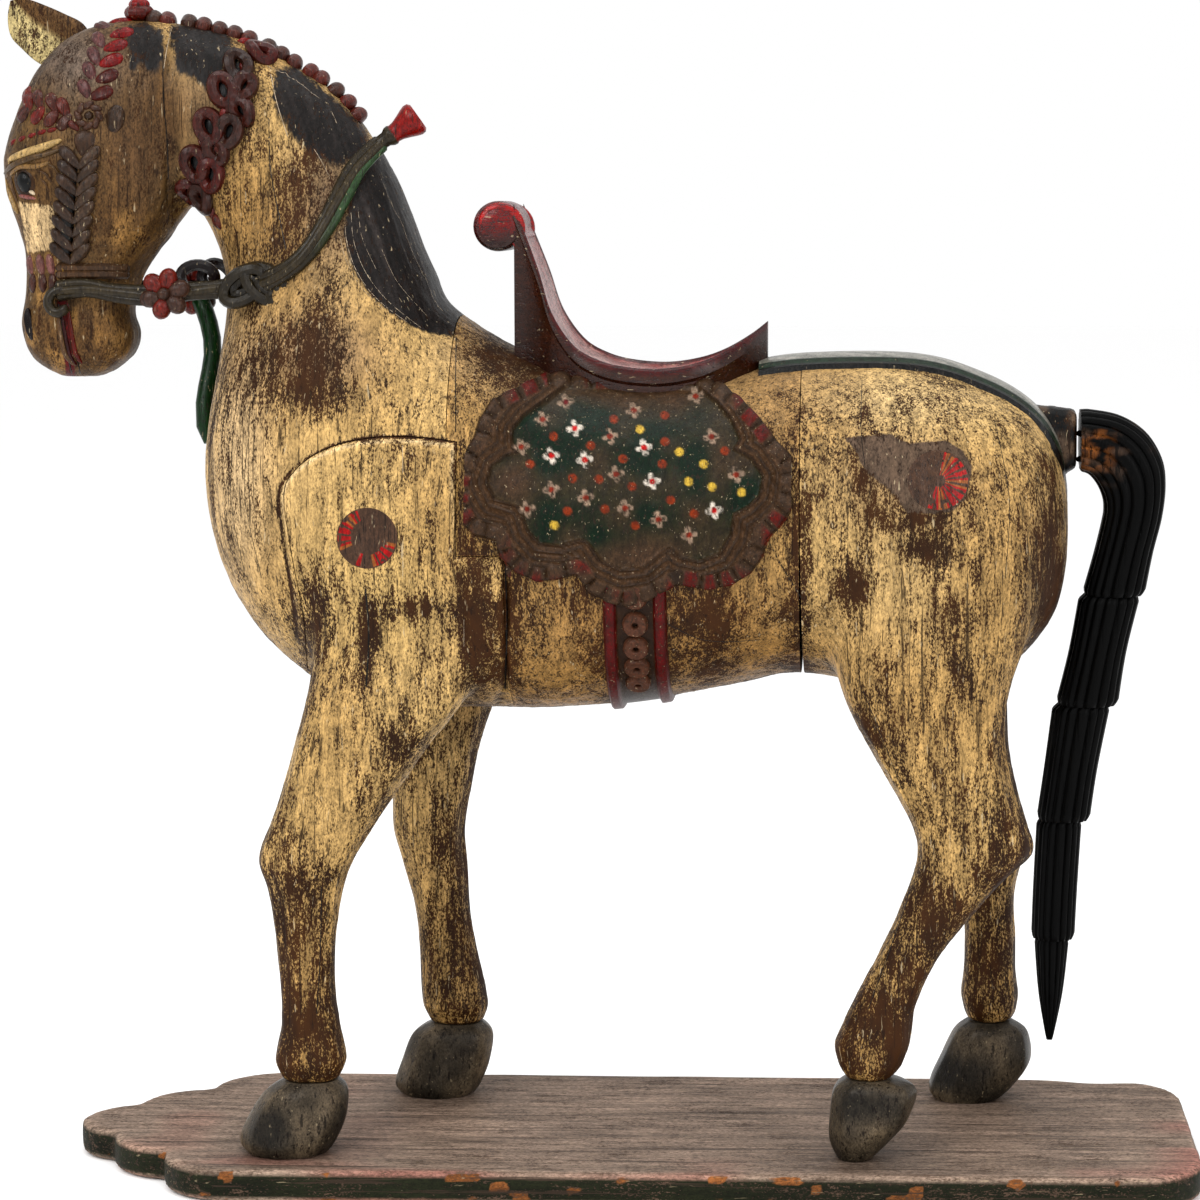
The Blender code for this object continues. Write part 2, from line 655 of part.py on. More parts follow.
def forehand(collection):
    """Head, neck and chest with everything carved on them, without the shoulder panels."""
    shell = loft("forehand", body_rings(), collection)
    between(shell, -HORSE_HEIGHT, FRONT_SEAM_X * MM - SEAM_GAP / 2, collection)
    bm = bmesh.new()
    bm.from_mesh(shell.data)
    tree = BVHTree.FromBMesh(bm)
    bm.free()
    for side in (-1, 1):
        combine(shell, shoulder_prism(side, SEAM_GAP, collection), "DIFFERENCE")
        combine(shell, mouth_slit(side, collection), "DIFFERENCE")
    combine(shell, bridle_beads(tree, collection), "UNION")
    for side in (-1, 1):
        for phase in (0, math.pi):
            combine(shell, neck_braid_strand(tree, side, phase, collection), "UNION")
        brow = [on_side(tree, p.x, p.y, side)[0] for p in spaced(BROW_ROUTE, BROW_POINTS)]
        combine(shell, tube("brow", brow, BROW_RADIUS * MM, collection, rounding=0), "UNION")
        for route, count in BRAIDS:
            combine(shell, braid(tree, route, count, side, collection), "UNION")
        combine(shell, rein(tree, side, collection), "UNION")
    combine(shell, ear(collection), "UNION")
    return shell


def foreleg(name, stations, hoof, side, collection):
    """A foreleg with its shoulder panel, which fills its pocket in the body flush with the surface."""
    panel = loft(name, body_rings(), collection)
    combine(panel, shoulder_prism(side, 0, collection), "INTERSECT")
    return combine(panel, leg(name + "_limb", stations, hoof, side, collection), "UNION")


def cloth_outline(inset, grow=0.0):
    """The saddle cloth's lobed outline in metres: round its middle, the outermost lobe in each direction."""
    points = []
    steps = 2 * CLOTH_SCALLOPS
    for k in range(steps):
        angle = 2 * math.pi * k / steps
        direction = Vector((math.cos(angle), math.sin(angle)))
        reach = 0
        for x, z, radius in CLOTH_LOBES:
            to_lobe = Vector((x, z)) - Vector(CLOTH_MIDDLE)
            ahead = to_lobe.dot(direction)
            inside = radius ** 2 - (to_lobe.length ** 2 - ahead ** 2)
            if inside > 0:
                reach = max(reach, ahead + math.sqrt(inside))
        scallop = SCALLOP_DEPTH * (k % 2) if not inset else 0
        place = Vector(CLOTH_MIDDLE) + direction * (reach - inset - scallop)
        points.append((place.x, min(place.y, CLOTH_TOP - inset * 0.5)))
    outline = [(on_figure(x, 0, z).x, on_figure(x, 0, z).z) for x, z in points]
    return offset_outline(outline, grow) if grow else outline


def cloth(grow, collection):
    """The saddle cloth's border as a solid that stands proud of the barrel."""
    shell = loft("cloth", body_rings(CLOTH_RELIEF + grow), collection)
    reach = BOARD_WIDTH
    return combine(shell, prism("cloth_edge", cloth_outline(0, grow), -reach, reach, collection), "INTERSECT")


def girth(collection):
    """The girth strap round the belly with its row of discs."""
    shell = loft("girth", body_rings(GIRTH_RELIEF), collection)
    between(shell, GIRTH_FRONT_X * MM, GIRTH_BACK_X * MM, collection)
    top = on_figure(0, 0, GIRTH_TOP).z
    reach = HORSE_HEIGHT
    below = box("girth_top", Vector((-reach, -reach, 0)), Vector((reach, reach, top)), collection)
    return combine(shell, below, "INTERSECT")


def croup_strap(first_x, last_x, collection):
    """The raised strap along the croup, between two x values in metres."""
    shell = loft("croup_strap", body_rings(CROUP_STRAP_RELIEF), collection)
    between(shell, first_x, last_x, collection)
    half, reach = CROUP_STRAP_HALF_WIDTH * MM, HORSE_HEIGHT
    low = on_figure(0, 0, CROUP_STRAP_LOW).z
    return combine(shell, box("strap_edge", Vector((-reach, -half, low)), Vector((reach, half, 2 * reach)),
                              collection), "INTERSECT")


def barrel(collection):
    """The middle block with the saddle cloth, girth and croup strap carved on it."""
    start, end = FRONT_SEAM_X * MM + SEAM_GAP / 2, REAR_SEAM_X * MM
    result = loft("barrel", body_rings(), collection)
    field = prism("field", cloth_outline(CLOTH_BORDER), -BOARD_WIDTH, BOARD_WIDTH, collection)
    combine(field, loft("field_floor", body_rings(CLOTH_FIELD_RELIEF), collection), "DIFFERENCE")
    border = combine(cloth(0, collection), field, "DIFFERENCE")
    combine(result, border, "UNION")
    combine(result, girth(collection), "UNION")
    combine(result, croup_strap(CROUP_STRAP_FRONT_X * MM, 2 * end, collection), "UNION")
    between(result, start, end, collection)
    for side in (-1, 1):
        combine(result, shoulder_prism(side, SEAM_GAP, collection), "DIFFERENCE")
    return result


def hindquarters(collection):
    """The rear block with both hind legs, the croup strap and the dock stub."""
    start = REAR_SEAM_X * MM + SEAM_GAP / 2
    result = loft("hindquarters", body_rings(), collection)
    combine(result, croup_strap(start / 2, HORSE_HEIGHT, collection), "UNION")
    rings = [section(on_figure(a, 0, b), on_figure(c, 0, d), w * MM, 0, DOCK_SIDES, DOCK_ROUNDNESS)
             for a, b, c, d, w in DOCK_STUB]
    combine(result, loft("stub", rings, collection), "UNION")
    combine(result, leg("near_hind", NEAR_HIND_LEG, NEAR_HIND_HOOF, -1, collection), "UNION")
    combine(result, leg("far_hind", FAR_HIND_LEG, FAR_HIND_HOOF, 1, collection), "UNION")
    top, foot, front = 2 * HORSE_HEIGHT, on_figure(0, 0, 0).z, -HORSE_HEIGHT
    middle = on_figure(0, 0, REAR_SEAM_OPENS_AT).z
    wedge = [(front, top), (start, top), (start, middle), (start + 2 * REAR_SEAM_OPENING, foot), (front, foot)]
    return combine(result, prism("slit", wedge, -BOARD_WIDTH, BOARD_WIDTH, collection), "DIFFERENCE")


def saddle(collection):
    """The carved seat: a high pommel with a scroll, a hollow seat and a pointed back, cut to fit the back."""
    rings = []
    for x, height, half_width in SADDLE:
        edge = on_figure(x, 0, height).z
        low = on_figure(x, 0, SADDLE_FOOT).z
        w, lean = half_width * MM, 0.9 * half_width * MM
        dish, lip = edge - SEAT_DISH * MM, edge - SEAT_EDGE * MM
        across = ((-w, edge), (-0.5 * w, dish), (0.5 * w, dish), (w, edge),
                  (w, lip), (lean, low), (-lean, low), (-w, lip))
        rings.append([Vector((x * MM, y, z)) for y, z in across])
    result = loft("saddle", rings, collection)
    for grown, edge in ((FIT_GAP, None), (CLOTH_RELIEF + FIT_GAP, cloth_outline(0, FIT_GAP))):
        seat = loft("back", body_rings(grown), collection)
        if edge:
            combine(seat, prism("edge", edge, -BOARD_WIDTH, BOARD_WIDTH, collection), "INTERSECT")
        combine(result, seat, "DIFFERENCE")
    bm = bmesh.new()
    turn = Matrix.Rotation(math.pi / 2, 4, "X")
    turn.translation = on_figure(SCROLL_CENTRE[0], 0, SCROLL_CENTRE[1])
    bmesh.ops.create_cone(bm, cap_ends=True, segments=SCROLL_SIDES, radius1=SCROLL_RADIUS * MM,
                          radius2=SCROLL_RADIUS * MM, depth=2 * SCROLL_HALF_WIDTH * MM, matrix=turn)
    combine(result, mesh_object("scroll", bm, collection), "UNION")
    outline = [(on_figure(x, 0, z).x, on_figure(x, 0, z).z) for x, z in SCROLL_ROOT]
    half = SCROLL_ROOT_HALF_WIDTH * MM
    return combine(result, prism("scroll_root", outline, -half, half, collection), "UNION")


def tail(collection):
    """The fluted tail in stepped tiers, with the two pins that cross its slit."""
    rings = []
    for tier in TAIL_TIERS:
        for top_x, top_z, low_x, low_z, half_width in tier:
            top, bottom = on_figure(top_x, 0, top_z), on_figure(low_x, 0, low_z)
            rings.append(section(top, bottom, half_width * MM, 0, 2 * TAIL_FLUTES, TAIL_ROUNDNESS,
                                 FLUTE_DEPTH))
    result = loft("tail", rings, collection)
    face = rings[0][0].x
    for height in TAIL_PIN_HEIGHTS:
        middle = on_figure(0, 0, height).z
        start, end = face - TAIL_SLIT + 2 * FIT_GAP, face + TAIL_PIN_HOLD * MM
        points = [Vector((start, 0, middle)), Vector((end, 0, middle))]
        combine(result, tube("pin", points, TAIL_PIN_RADIUS * MM, collection), "UNION")
    return result


def board_outline():
    """The board's outline in plan: three lobes a side at the front, round corners at the back."""
    half, front, back = BOARD_WIDTH / 2, -BOARD_LENGTH / 2, BOARD_LENGTH / 2
    depth = BOARD_CUSPS[0][0] * BOARD_WIDTH
    first = Vector((front + depth, -BOARD_CUSPS[0][1] * half))
    right = arc(first, Vector((first.x, -first.y)), depth, 12)[6:]
    last = Vector((first.x, -first.y))
    for x, y in BOARD_CUSPS[1:]:
        corner = Vector((front + x * BOARD_WIDTH, y * half))
        right += arc(last, corner, LOBE_RISE * (corner - last).length, 6)[1:]
        last = corner
    radius = BOARD_CORNER_RADIUS
    for k in range(7):
        angle = math.pi / 2 * (1 - k / 6)
        right.append(Vector((back - radius * (1 - math.cos(angle)), half - radius * (1 - math.sin(angle)))))
    left = [Vector((p.x, -p.y)) for p in reversed(right) if p.y > 1e-6]
    return right + left


def arc(start, end, rise, steps):
    """Points of the arc from start to end that bulges to the left of its run by rise."""
    chord = end - start
    half = chord.length / 2
    radius = (half ** 2 + rise ** 2) / (2 * rise)
    out = Vector((-chord.y, chord.x)).normalized()
    centre = (start + end) / 2 + out * (rise - radius)
    sweep = math.asin(min(1, half / radius))
    if rise > half:
        sweep = math.pi - sweep
    along = chord.normalized()
    return [
        centre + out * radius * math.cos(a) + along * radius * math.sin(a)
        for a in (sweep * (2 * k / steps - 1) for k in range(steps + 1))
    ]


def base_board(collection):
    bm = bmesh.new()
    face = bm.faces.new([bm.verts.new((p.x, p.y, 0)) for p in board_outline()])
    top = bmesh.ops.extrude_face_region(bm, geom=[face])["geom"]
    moved = [v for v in top if isinstance(v, bmesh.types.BMVert)]
    bmesh.ops.translate(bm, vec=(0, 0, BOARD_THICKNESS), verts=moved)
    board = mesh_object("base_board", bm, collection)
    bevel = board.modifiers.new("worn edges", "BEVEL")
    bevel.width = BOARD_EDGE_BEVEL
    bevel.segments = 1
    bevel.limit_method = "ANGLE"
    bevel.angle_limit = math.radians(60)
    return board


def merge_flat_faces(obj):
    """Takes out the points that Booleans leave within flat faces."""
    bm = bmesh.new()
    bm.from_mesh(obj.data)
    bmesh.ops.dissolve_limit(bm, angle_limit=FLAT_ANGLE, verts=bm.verts, edges=bm.edges)
    bmesh.ops.triangulate(bm, faces=bm.faces)
    mesh = obj.data.copy()
    bm.to_mesh(mesh)
    bm.free()
    if is_closed(mesh):
        obj.data = mesh


def finish(obj):
    """Gives a piece its own material, and shades its round forms smooth."""
    merge_flat_faces(obj)
    colour, roughness = COLOURS[obj.name]
    material = bpy.data.materials.new(obj.name + "_wood")
    material.use_nodes = True
    shader = material.node_tree.nodes["Principled BSDF"]
    shader.inputs["Base Color"].default_value = (*colour, 1)
    shader.inputs["Roughness"].default_value = roughness
    shader.inputs["Metallic"].default_value = 0
    obj.data.materials.clear()
    obj.data.materials.append(material)
    obj.data.shade_smooth()
    obj.data.set_sharp_from_angle(angle=SHARP_ANGLE)


def main():
    clear_scene()
    collection = bpy.data.collections.new("painted_wooden_horse")
    bpy.context.scene.collection.children.link(collection)
    pieces = [
        base_board(collection),
        forehand(collection),
        barrel(collection),
        hindquarters(collection),
        foreleg("foreleg_left", NEAR_FORELEG, NEAR_FORE_HOOF, -1, collection),
        foreleg("foreleg_right", FAR_FORELEG, FAR_FORE_HOOF, 1, collection),
        saddle(collection),
        tail(collection),
    ]
    for piece in pieces:
        finish(piece)


main()
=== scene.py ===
"""The painted wooden horse, dressed: carved surfaces, braids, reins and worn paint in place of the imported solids.

Ornaments and patches of paint are placed by where they are seen in one view of the left side, from the point
SIGHT: u to the right and v down, where the view is 1200 units wide. The right side takes them mirrored.
"""

import math

import bmesh
import bpy
import numpy as np
from mathutils import Matrix, Vector
from mathutils.bvhtree import BVHTree


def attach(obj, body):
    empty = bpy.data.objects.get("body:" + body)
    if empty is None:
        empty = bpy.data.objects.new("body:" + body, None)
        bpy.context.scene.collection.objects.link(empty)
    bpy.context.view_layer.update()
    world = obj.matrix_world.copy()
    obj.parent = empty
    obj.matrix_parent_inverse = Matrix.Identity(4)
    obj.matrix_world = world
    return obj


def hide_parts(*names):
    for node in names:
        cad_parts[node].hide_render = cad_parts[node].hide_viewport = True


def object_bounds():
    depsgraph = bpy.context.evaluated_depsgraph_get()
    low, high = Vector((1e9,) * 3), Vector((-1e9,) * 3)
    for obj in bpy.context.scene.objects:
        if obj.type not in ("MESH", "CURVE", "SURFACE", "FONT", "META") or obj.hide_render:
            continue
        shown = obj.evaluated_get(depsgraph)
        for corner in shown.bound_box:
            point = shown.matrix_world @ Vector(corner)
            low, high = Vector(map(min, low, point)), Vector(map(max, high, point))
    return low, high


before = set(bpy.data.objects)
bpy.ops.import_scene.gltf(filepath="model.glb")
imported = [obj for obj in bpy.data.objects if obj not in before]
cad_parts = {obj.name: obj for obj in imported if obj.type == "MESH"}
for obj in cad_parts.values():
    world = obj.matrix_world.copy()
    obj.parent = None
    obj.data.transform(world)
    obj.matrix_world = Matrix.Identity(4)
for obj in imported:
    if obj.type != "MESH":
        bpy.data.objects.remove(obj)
cad_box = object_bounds()

# The view that places are written in: its point, the u and v straight ahead of it, and units per metre at 1 m
SIGHT = np.array((0.389, -4.9, 1.42))
SIGHT_U, SIGHT_V, SIGHT_LENGTH = 945, 20, 3920

MM = 0.001
DECK = 0.0404  # the board's top, with the fit gap
TINY, FAR = 1e-9, 1e9
VOXEL = 0.0038  # the mesh size of the carved figure
SEAM = 0.0012  # the gap between the figure's blocks
# A colour read off the lit figure less SHEEN, the light that a satin face throws back, and divided by STUDIO,
# the light on a face turned to the camera, is the paint's own.
STUDIO = 1.5
SHEEN = 0.013
BODY_ROUNDNESS = 2.3  # of the body's cross sections, where 2 is an ellipse
BODY_PITCH = 12
BODY_SIDES = 96
LEG_SIDES = 40

# All stations are in millimetres above the board's top, as the solids have them.
# The body's sections, from rump to muzzle: upper point x, z, lower point x, z, half width

BODY = (
    (537, 800, 537, 712, 58), (526, 855, 521, 645, 112), (495, 899, 480, 592, 152), (436, 934, 430, 562, 178),
    (350, 958, 345, 552, 192), (211, 958, 211, 572, 192), (120, 944, 120, 556, 195), (20, 936, 20, 538, 197),
    (-80, 950, -80, 528, 196), (-166, 984, -168, 527, 190), (-228, 1028, -330, 532, 178),
    (-248, 1070, -430, 588, 170), (-262, 1102, -494, 670, 160), (-276, 1140, -526, 770, 144),
    (-294, 1184, -528, 866, 122), (-320, 1230, -510, 966, 96), (-366, 1286, -502, 1034, 80),
    (-424, 1326, -510, 1088, 73), (-486, 1356, -528, 1130, 68), (-560, 1374, -545, 1149, 66),
    (-636, 1378, -552, 1145, 68), (-698, 1358, -558, 1137, 72), (-738, 1318, -568, 1124, 77),
    (-766, 1258, -580, 1107, 80), (-781, 1203, -594, 1089, 77), (-773, 1152, -608, 1068, 67),
    (-757, 1096, -618, 1042, 56), (-756, 1042, -622, 1014, 52), (-762, 1004, -615, 992, 54),
    (-754, 968, -622, 966, 49), (-733, 947, -645, 946, 36), (-712, 937, -666, 937, 20),
)
# Each leg's sections: height, front x, back x, half width, distance of its middle from the centre plane
NEAR_FORELEG = (
    (780, -386, -214, 42, 128), (715, -383, -205, 52, 132), (640, -380, -162, 48, 128), (590, -386, -172, 53, 134),
    (545, -392, -196, 57, 140), (500, -402, -234, 53, 142), (452, -415, -268, 49, 144), (404, -431, -300, 46, 145),
    (359, -447, -328, 45, 145), (325, -437, -341, 39, 145), (276, -428, -350, 34, 145), (209, -421, -353, 32, 145),
    (155, -419, -347, 35, 145), (113, -428, -338, 42, 145), (89, -418, -350, 31, 145),
)
FAR_FORELEG = (
    (780, -386, -214, 42, 128), (715, -383, -205, 52, 132), (640, -380, -162, 48, 128), (590, -376, -168, 53, 134),
    (545, -366, -178, 57, 139), (499, -352, -193, 53, 140), (448, -336, -209, 49, 140), (397, -324, -219, 46, 140),
    (345, -322, -227, 44, 140), (294, -308, -224, 38, 140), (242, -294, -222, 34, 140), (191, -289, -214, 32, 140),
    (139, -287, -202, 38, 140), (114, -285, -198, 42, 140), (93, -274, -206, 31, 140),
)
NEAR_HIND_LEG = (
    (860, 345, 455, 40, 98), (798, 292, 498, 66, 116), (701, 264, 505, 74, 126), (628, 250, 488, 70, 132),
    (567, 256, 467, 64, 136), (507, 287, 459, 58, 139), (446, 323, 470, 51, 142), (404, 344, 486, 46, 144),
    (373, 352, 493, 43, 145), (337, 344, 457, 39, 145), (288, 324, 413, 35, 145), (234, 298, 374, 33, 145),
    (179, 270, 349, 35, 145), (137, 251, 345, 41, 145), (110, 258, 334, 38, 145), (97, 266, 322, 30, 145),
)
FAR_HIND_LEG = (
    (860, 345, 455, 40, 98), (798, 292, 498, 66, 116), (701, 264, 505, 74, 126), (628, 252, 492, 70, 132),
    (567, 270, 476, 64, 136), (507, 308, 472, 58, 138), (446, 348, 476, 51, 140), (390, 380, 488, 46, 140),
    (339, 400, 502, 43, 140), (300, 404, 490, 39, 140), (262, 412, 482, 35, 140), (216, 417, 483, 33, 140),
    (165, 416, 484, 34, 140), (135, 412, 488, 40, 140), (114, 417, 485, 38, 140), (101, 422, 478, 30, 140),
)
# Each hoof: its side, its distance from the centre plane, and its sections as height, front x, back x, half width
HOOVES = {
    "near_fore": (-1, 145, ((89, -418, -350, 31), (74, -440, -338, 42), (42, -461, -340, 47), (13, -470, -352, 48),
                            (0, -462, -364, 43))),
    "far_fore": (1, 140, ((93, -274, -206, 31), (77, -298, -192, 42), (42, -312, -196, 47), (13, -320, -208, 48),
                          (0, -312, -219, 43))),
    "near_hind": (-1, 145, ((97, 266, 322, 30), (83, 251, 352, 42), (46, 246, 342, 46), (20, 247, 321, 40),
                            (0, 256, 300, 30))),
    "far_hind": (1, 140, ((101, 422, 478, 30), (86, 404, 499, 42), (48, 384, 503, 46), (14, 371, 480, 46),
                          (0, 377, 462, 42))),
}
DOCK_STUB = ((470, 905, 470, 820, 34), (520, 902, 530, 818, 32), (549, 898, 549, 824, 30))
FRONT_SEAM_X = -212
REAR_SEAM_X = 211
# The foreleg block's outline, x and z, and how far its inner face is from the centre plane
SHOULDER = (
    (-409, 803), (-396, 830), (-366, 853), (-322, 868), (-266, 873), (-199, 867), (-199, 731), (-142, 731),
    (-142, -60), (-620, -60), (-620, 430), (-470, 470), (-400, 560), (-389, 640),
)
SHOULDER_DEPTH = 72
REAR_SEAM_OPENS_AT = 760
REAR_SEAM_OPENING = 0.006
# The saddle's sections: x, height of its edge, half width
SADDLE = (
    (-141, 1150, 62), (-126, 1112, 66), (-109, 1067, 74), (-93, 1018, 84), (-67, 980, 94), (-38, 962, 100),
    (-5, 953, 102), (39, 950, 102), (80, 956, 98), (113, 968, 84), (145, 987, 52), (168, 1005, 14),
)
# The tail's tiers, one above the other, in sections as the body's
TAIL_TIERS = (
    ((554, 899, 554, 822, 40), (600, 891, 565, 818, 42), (634, 870, 575, 806, 43), (654, 838, 582, 790, 43),
     (659, 805, 584, 776, 43), (655, 765, 582, 760, 42), (644, 720, 572, 718, 41), (634, 668, 558, 668, 42)),
    ((628, 664, 554, 664, 37), (612, 597, 542, 597, 36), (602, 531, 526, 531, 38)),
    ((592, 527, 522, 527, 33), (577, 450, 512, 450, 32), (568, 387, 503, 387, 34)),
    ((558, 383, 503, 383, 29), (553, 300, 499, 300, 27), (550, 238, 497, 238, 29)),
    ((543, 234, 501, 234, 23), (536, 170, 506, 170, 16), (524, 109, 516, 109, 4)),
)


def srgb(*rgb):
    """A colour read off the lit figure, 0 to 255 in sRGB, as a linear share of light thrown back."""
    c = np.array(rgb) / 255
    return np.maximum(np.where(c <= 0.04045, c / 12.92, ((c + 0.055) / 1.055) ** 2.4) - SHEEN, 0.001) / STUDIO


GOLD = srgb(212, 174, 112)
OCHRE = srgb(158, 114, 60)
UMBER = srgb(62, 43, 32)
PALE = srgb(236, 212, 170)
BLACK = srgb(30, 29, 30)
BLUEBLACK = srgb(46, 43, 42)
RED = srgb(176, 32, 24)
DEEPRED = srgb(96, 26, 22)
BARE = srgb(136, 86, 52)


def point(x, y, z):
    """A place given in millimetres from the middle of the board's top."""
    return Vector((x * MM, y * MM, DECK + z * MM))


def seen(co):
    """Where points are seen, u and v, with the right side's points mirrored to the left side."""
    depth = -np.abs(co[:, 1]) - SIGHT[1]
    u = SIGHT_U + SIGHT_LENGTH * (co[:, 0] - SIGHT[0]) / depth
    v = SIGHT_V + SIGHT_LENGTH * (SIGHT[2] - co[:, 2]) / depth
    return u, v


def value_noise(co, scale, seed):
    """Smooth noise from 0 to 1 at points, with one scale, or one for each axis."""
    rng = np.random.default_rng(seed)
    table = rng.random((32, 32, 32))
    p = co * np.array(scale)
    base = np.floor(p).astype(int)
    f = p - base
    f = f * f * (3 - 2 * f)
    total = np.zeros(len(co))
    for dx in (0, 1):
        for dy in (0, 1):
            for dz in (0, 1):
                weight = (f[:, 0] if dx else 1 - f[:, 0]) * (f[:, 1] if dy else 1 - f[:, 1])
                weight = weight * (f[:, 2] if dz else 1 - f[:, 2])
                total += weight * table[(base[:, 0] + dx) % 32, (base[:, 1] + dy) % 32, (base[:, 2] + dz) % 32]
    return total


def ramp(value, low, high):
    """0 below low, 1 above high, and smooth between."""
    t = np.clip((value - low) / (high - low), 0, 1)
    return t * t * (3 - 2 * t)


def mixed(first, second, share):
    """A colour between two: the second where share is 1."""
    share = np.asarray(share)[..., None]
    return first * (1 - share) + second * share


def blob(u, v, middle_u, middle_v, reach_u, reach_v):
    """1 at a place in the view, falling off softly round it."""
    return np.exp(-((u - middle_u) / reach_u) ** 2 - ((v - middle_v) / reach_v) ** 2)


def beside(u, v, a, b):
    """How far places are from the stretch from a to b, and how far along it, from 0 to 1."""
    span = b - a
    t = np.clip(((u - a[0]) * span[0] + (v - a[1]) * span[1]) / max(span @ span, TINY), 0, 1)
    return np.hypot(u - a[0] - t * span[0], v - a[1] - t * span[1]), t


def signed(u, v, outline):
    """Distance within a closed outline, below zero outside it."""
    points = np.array(outline, float)
    crossings = np.zeros(len(u), bool)
    nearest = np.full(len(u), FAR)
    for a, b in zip(points, np.roll(points, -1, 0)):
        nearest = np.minimum(nearest, beside(u, v, a, b)[0])
        rises = (a[1] > v) != (b[1] > v)
        crossings ^= rises & (u < a[0] + (b[0] - a[0]) * (v - a[1]) / ((b[1] - a[1]) or TINY))
    return np.where(crossings, nearest, -nearest)


def inside(u, v, outline, soft):
    """1 within a closed outline, 0 outside it, with a soft edge."""
    return ramp(signed(u, v, outline), -soft, soft)


def rim_place(u, v, outline):
    """How far along an outline its nearest point is."""
    points = np.array(outline, float)
    nearest = np.full(len(u), FAR)
    place = np.zeros(len(u))
    start = 0.0
    for a, b in zip(points, np.roll(points, -1, 0)):
        away, t = beside(u, v, a, b)
        length = np.linalg.norm(b - a)
        closer = away < nearest
        nearest = np.where(closer, away, nearest)
        place = np.where(closer, start + t * length, place)
        start += length
    return place


def along_line(u, v, route, width):
    """1 on a line through points, falling to 0 at its half width."""
    points = np.array(route, float)
    nearest = np.min([beside(u, v, a, b)[0] for a, b in zip(points, points[1:])], axis=0)
    return 1 - ramp(nearest, 0.3 * width, width)


def catmull(rows, pitch):
    """Rows on a smooth curve through the given rows, about a pitch apart."""
    rows = [np.array(r, float) for r in rows]
    result = []
    for i in range(len(rows) - 1):
        a, b, c, d = (rows[min(max(k, 0), len(rows) - 1)] for k in (i - 1, i, i + 1, i + 2))
        span = max(np.linalg.norm((c - b)[:2]), np.linalg.norm((c - b)[2:4]) if len(b) > 3 else 0)
        steps = max(1, round(span / pitch))
        for k in range(steps):
            t = k / steps
            result.append(b + 0.5 * t * (c - a + t * (2 * a - 5 * b + 4 * c - d + t * (3 * (b - c) + d - a))))
    result.append(rows[-1])
    return result


TRUNK = np.array([s for s in catmull(BODY, BODY_PITCH) if -330 < s[0] < 560])
TRUNK_TOP, TRUNK_LOW = TRUNK[np.argsort(TRUNK[:, 0])], TRUNK[np.argsort(TRUNK[:, 2])]


def trunk_at(x):
    """The top, the bottom and the half width of the body at x."""
    return (np.interp(x, TRUNK_TOP[:, 0], TRUNK_TOP[:, 1]), np.interp(x, TRUNK_LOW[:, 2], TRUNK_LOW[:, 3]),
            np.interp(x, TRUNK_TOP[:, 0], TRUNK_TOP[:, 4]))


def oval(top, bottom, half_width, middle_y, sides, roundness):
    """A superellipse in the plane of Y and the line from top to bottom, as rows of coordinates."""
    angle = 2 * np.pi * (np.arange(sides) + 0.5) / sides
    c, s = np.cos(angle), np.sin(angle)
    a = np.sign(c) * np.abs(c) ** (2 / roundness)
    b = np.sign(s) * np.abs(s) ** (2 / roundness)
    top, bottom = np.array(top), np.array(bottom)
    ring = (top + bottom) / 2 + np.outer(a, (top - bottom) / 2)
    ring[:, 1] = middle_y + half_width * b
    return ring


def ring_faces(count, sides, capped=True):
    """Faces of a tube of rings, with a cap of one face at each end."""
    i, j = np.meshgrid(np.arange(count - 1), np.arange(sides), indexing="ij")
    k = (j + 1) % sides
    quads = np.stack((i * sides + j, i * sides + k, (i + 1) * sides + k, (i + 1) * sides + j), -1).reshape(-1, 4)
    faces = quads.tolist()
    if capped:
        faces.append(list(range(sides))[::-1])
        faces.append([(count - 1) * sides + j for j in range(sides)])
    return faces


def turned(faces):
    """The faces seen from their other side."""
    return [face[::-1] for face in faces]


def sheet_faces(rows, columns):
    """Faces of a sheet of points in rows and columns."""
    i, j = np.meshgrid(np.arange(rows - 1), np.arange(columns - 1), indexing="ij")
    corner = i * columns + j
    return np.stack((corner, corner + 1, corner + columns + 1, corner + columns), -1).reshape(-1, 4).tolist()


def egg(rows=9, sides=12):
    """A ball as rings: how far each is along the axis, how wide it is, and the turn of its points."""
    polar = np.pi * (np.arange(rows) + 0.5) / rows
    return -np.cos(polar), np.sin(polar), 2 * np.pi * np.arange(sides) / sides


class Heap:
    """Shapes gathered into one mesh, with the colour and the wholeness of the paint at each point."""

    def __init__(self):
        self.co, self.faces, self.tint, self.keep, self.count = [], [], [], [], 0

    def add(self, co, faces, tint=GOLD, keep=1.0):
        co = np.asarray(co, float).reshape(-1, 3)
        self.co.append(co)
        self.faces.extend([[k + self.count for k in face] for face in faces])
        self.tint.append(np.broadcast_to(tint, (len(co), 3)))
        self.keep.append(np.broadcast_to(keep, len(co)))
        self.count += len(co)

    def piece(self, name):
        mesh = bpy.data.meshes.new(name)
        mesh.from_pydata(np.concatenate(self.co), [], self.faces)
        mesh.update()
        obj = bpy.data.objects.new(name, mesh)
        bpy.context.scene.collection.objects.link(obj)
        if self.tint:
            paint(obj, np.concatenate(self.tint), np.concatenate(self.keep))
        return obj


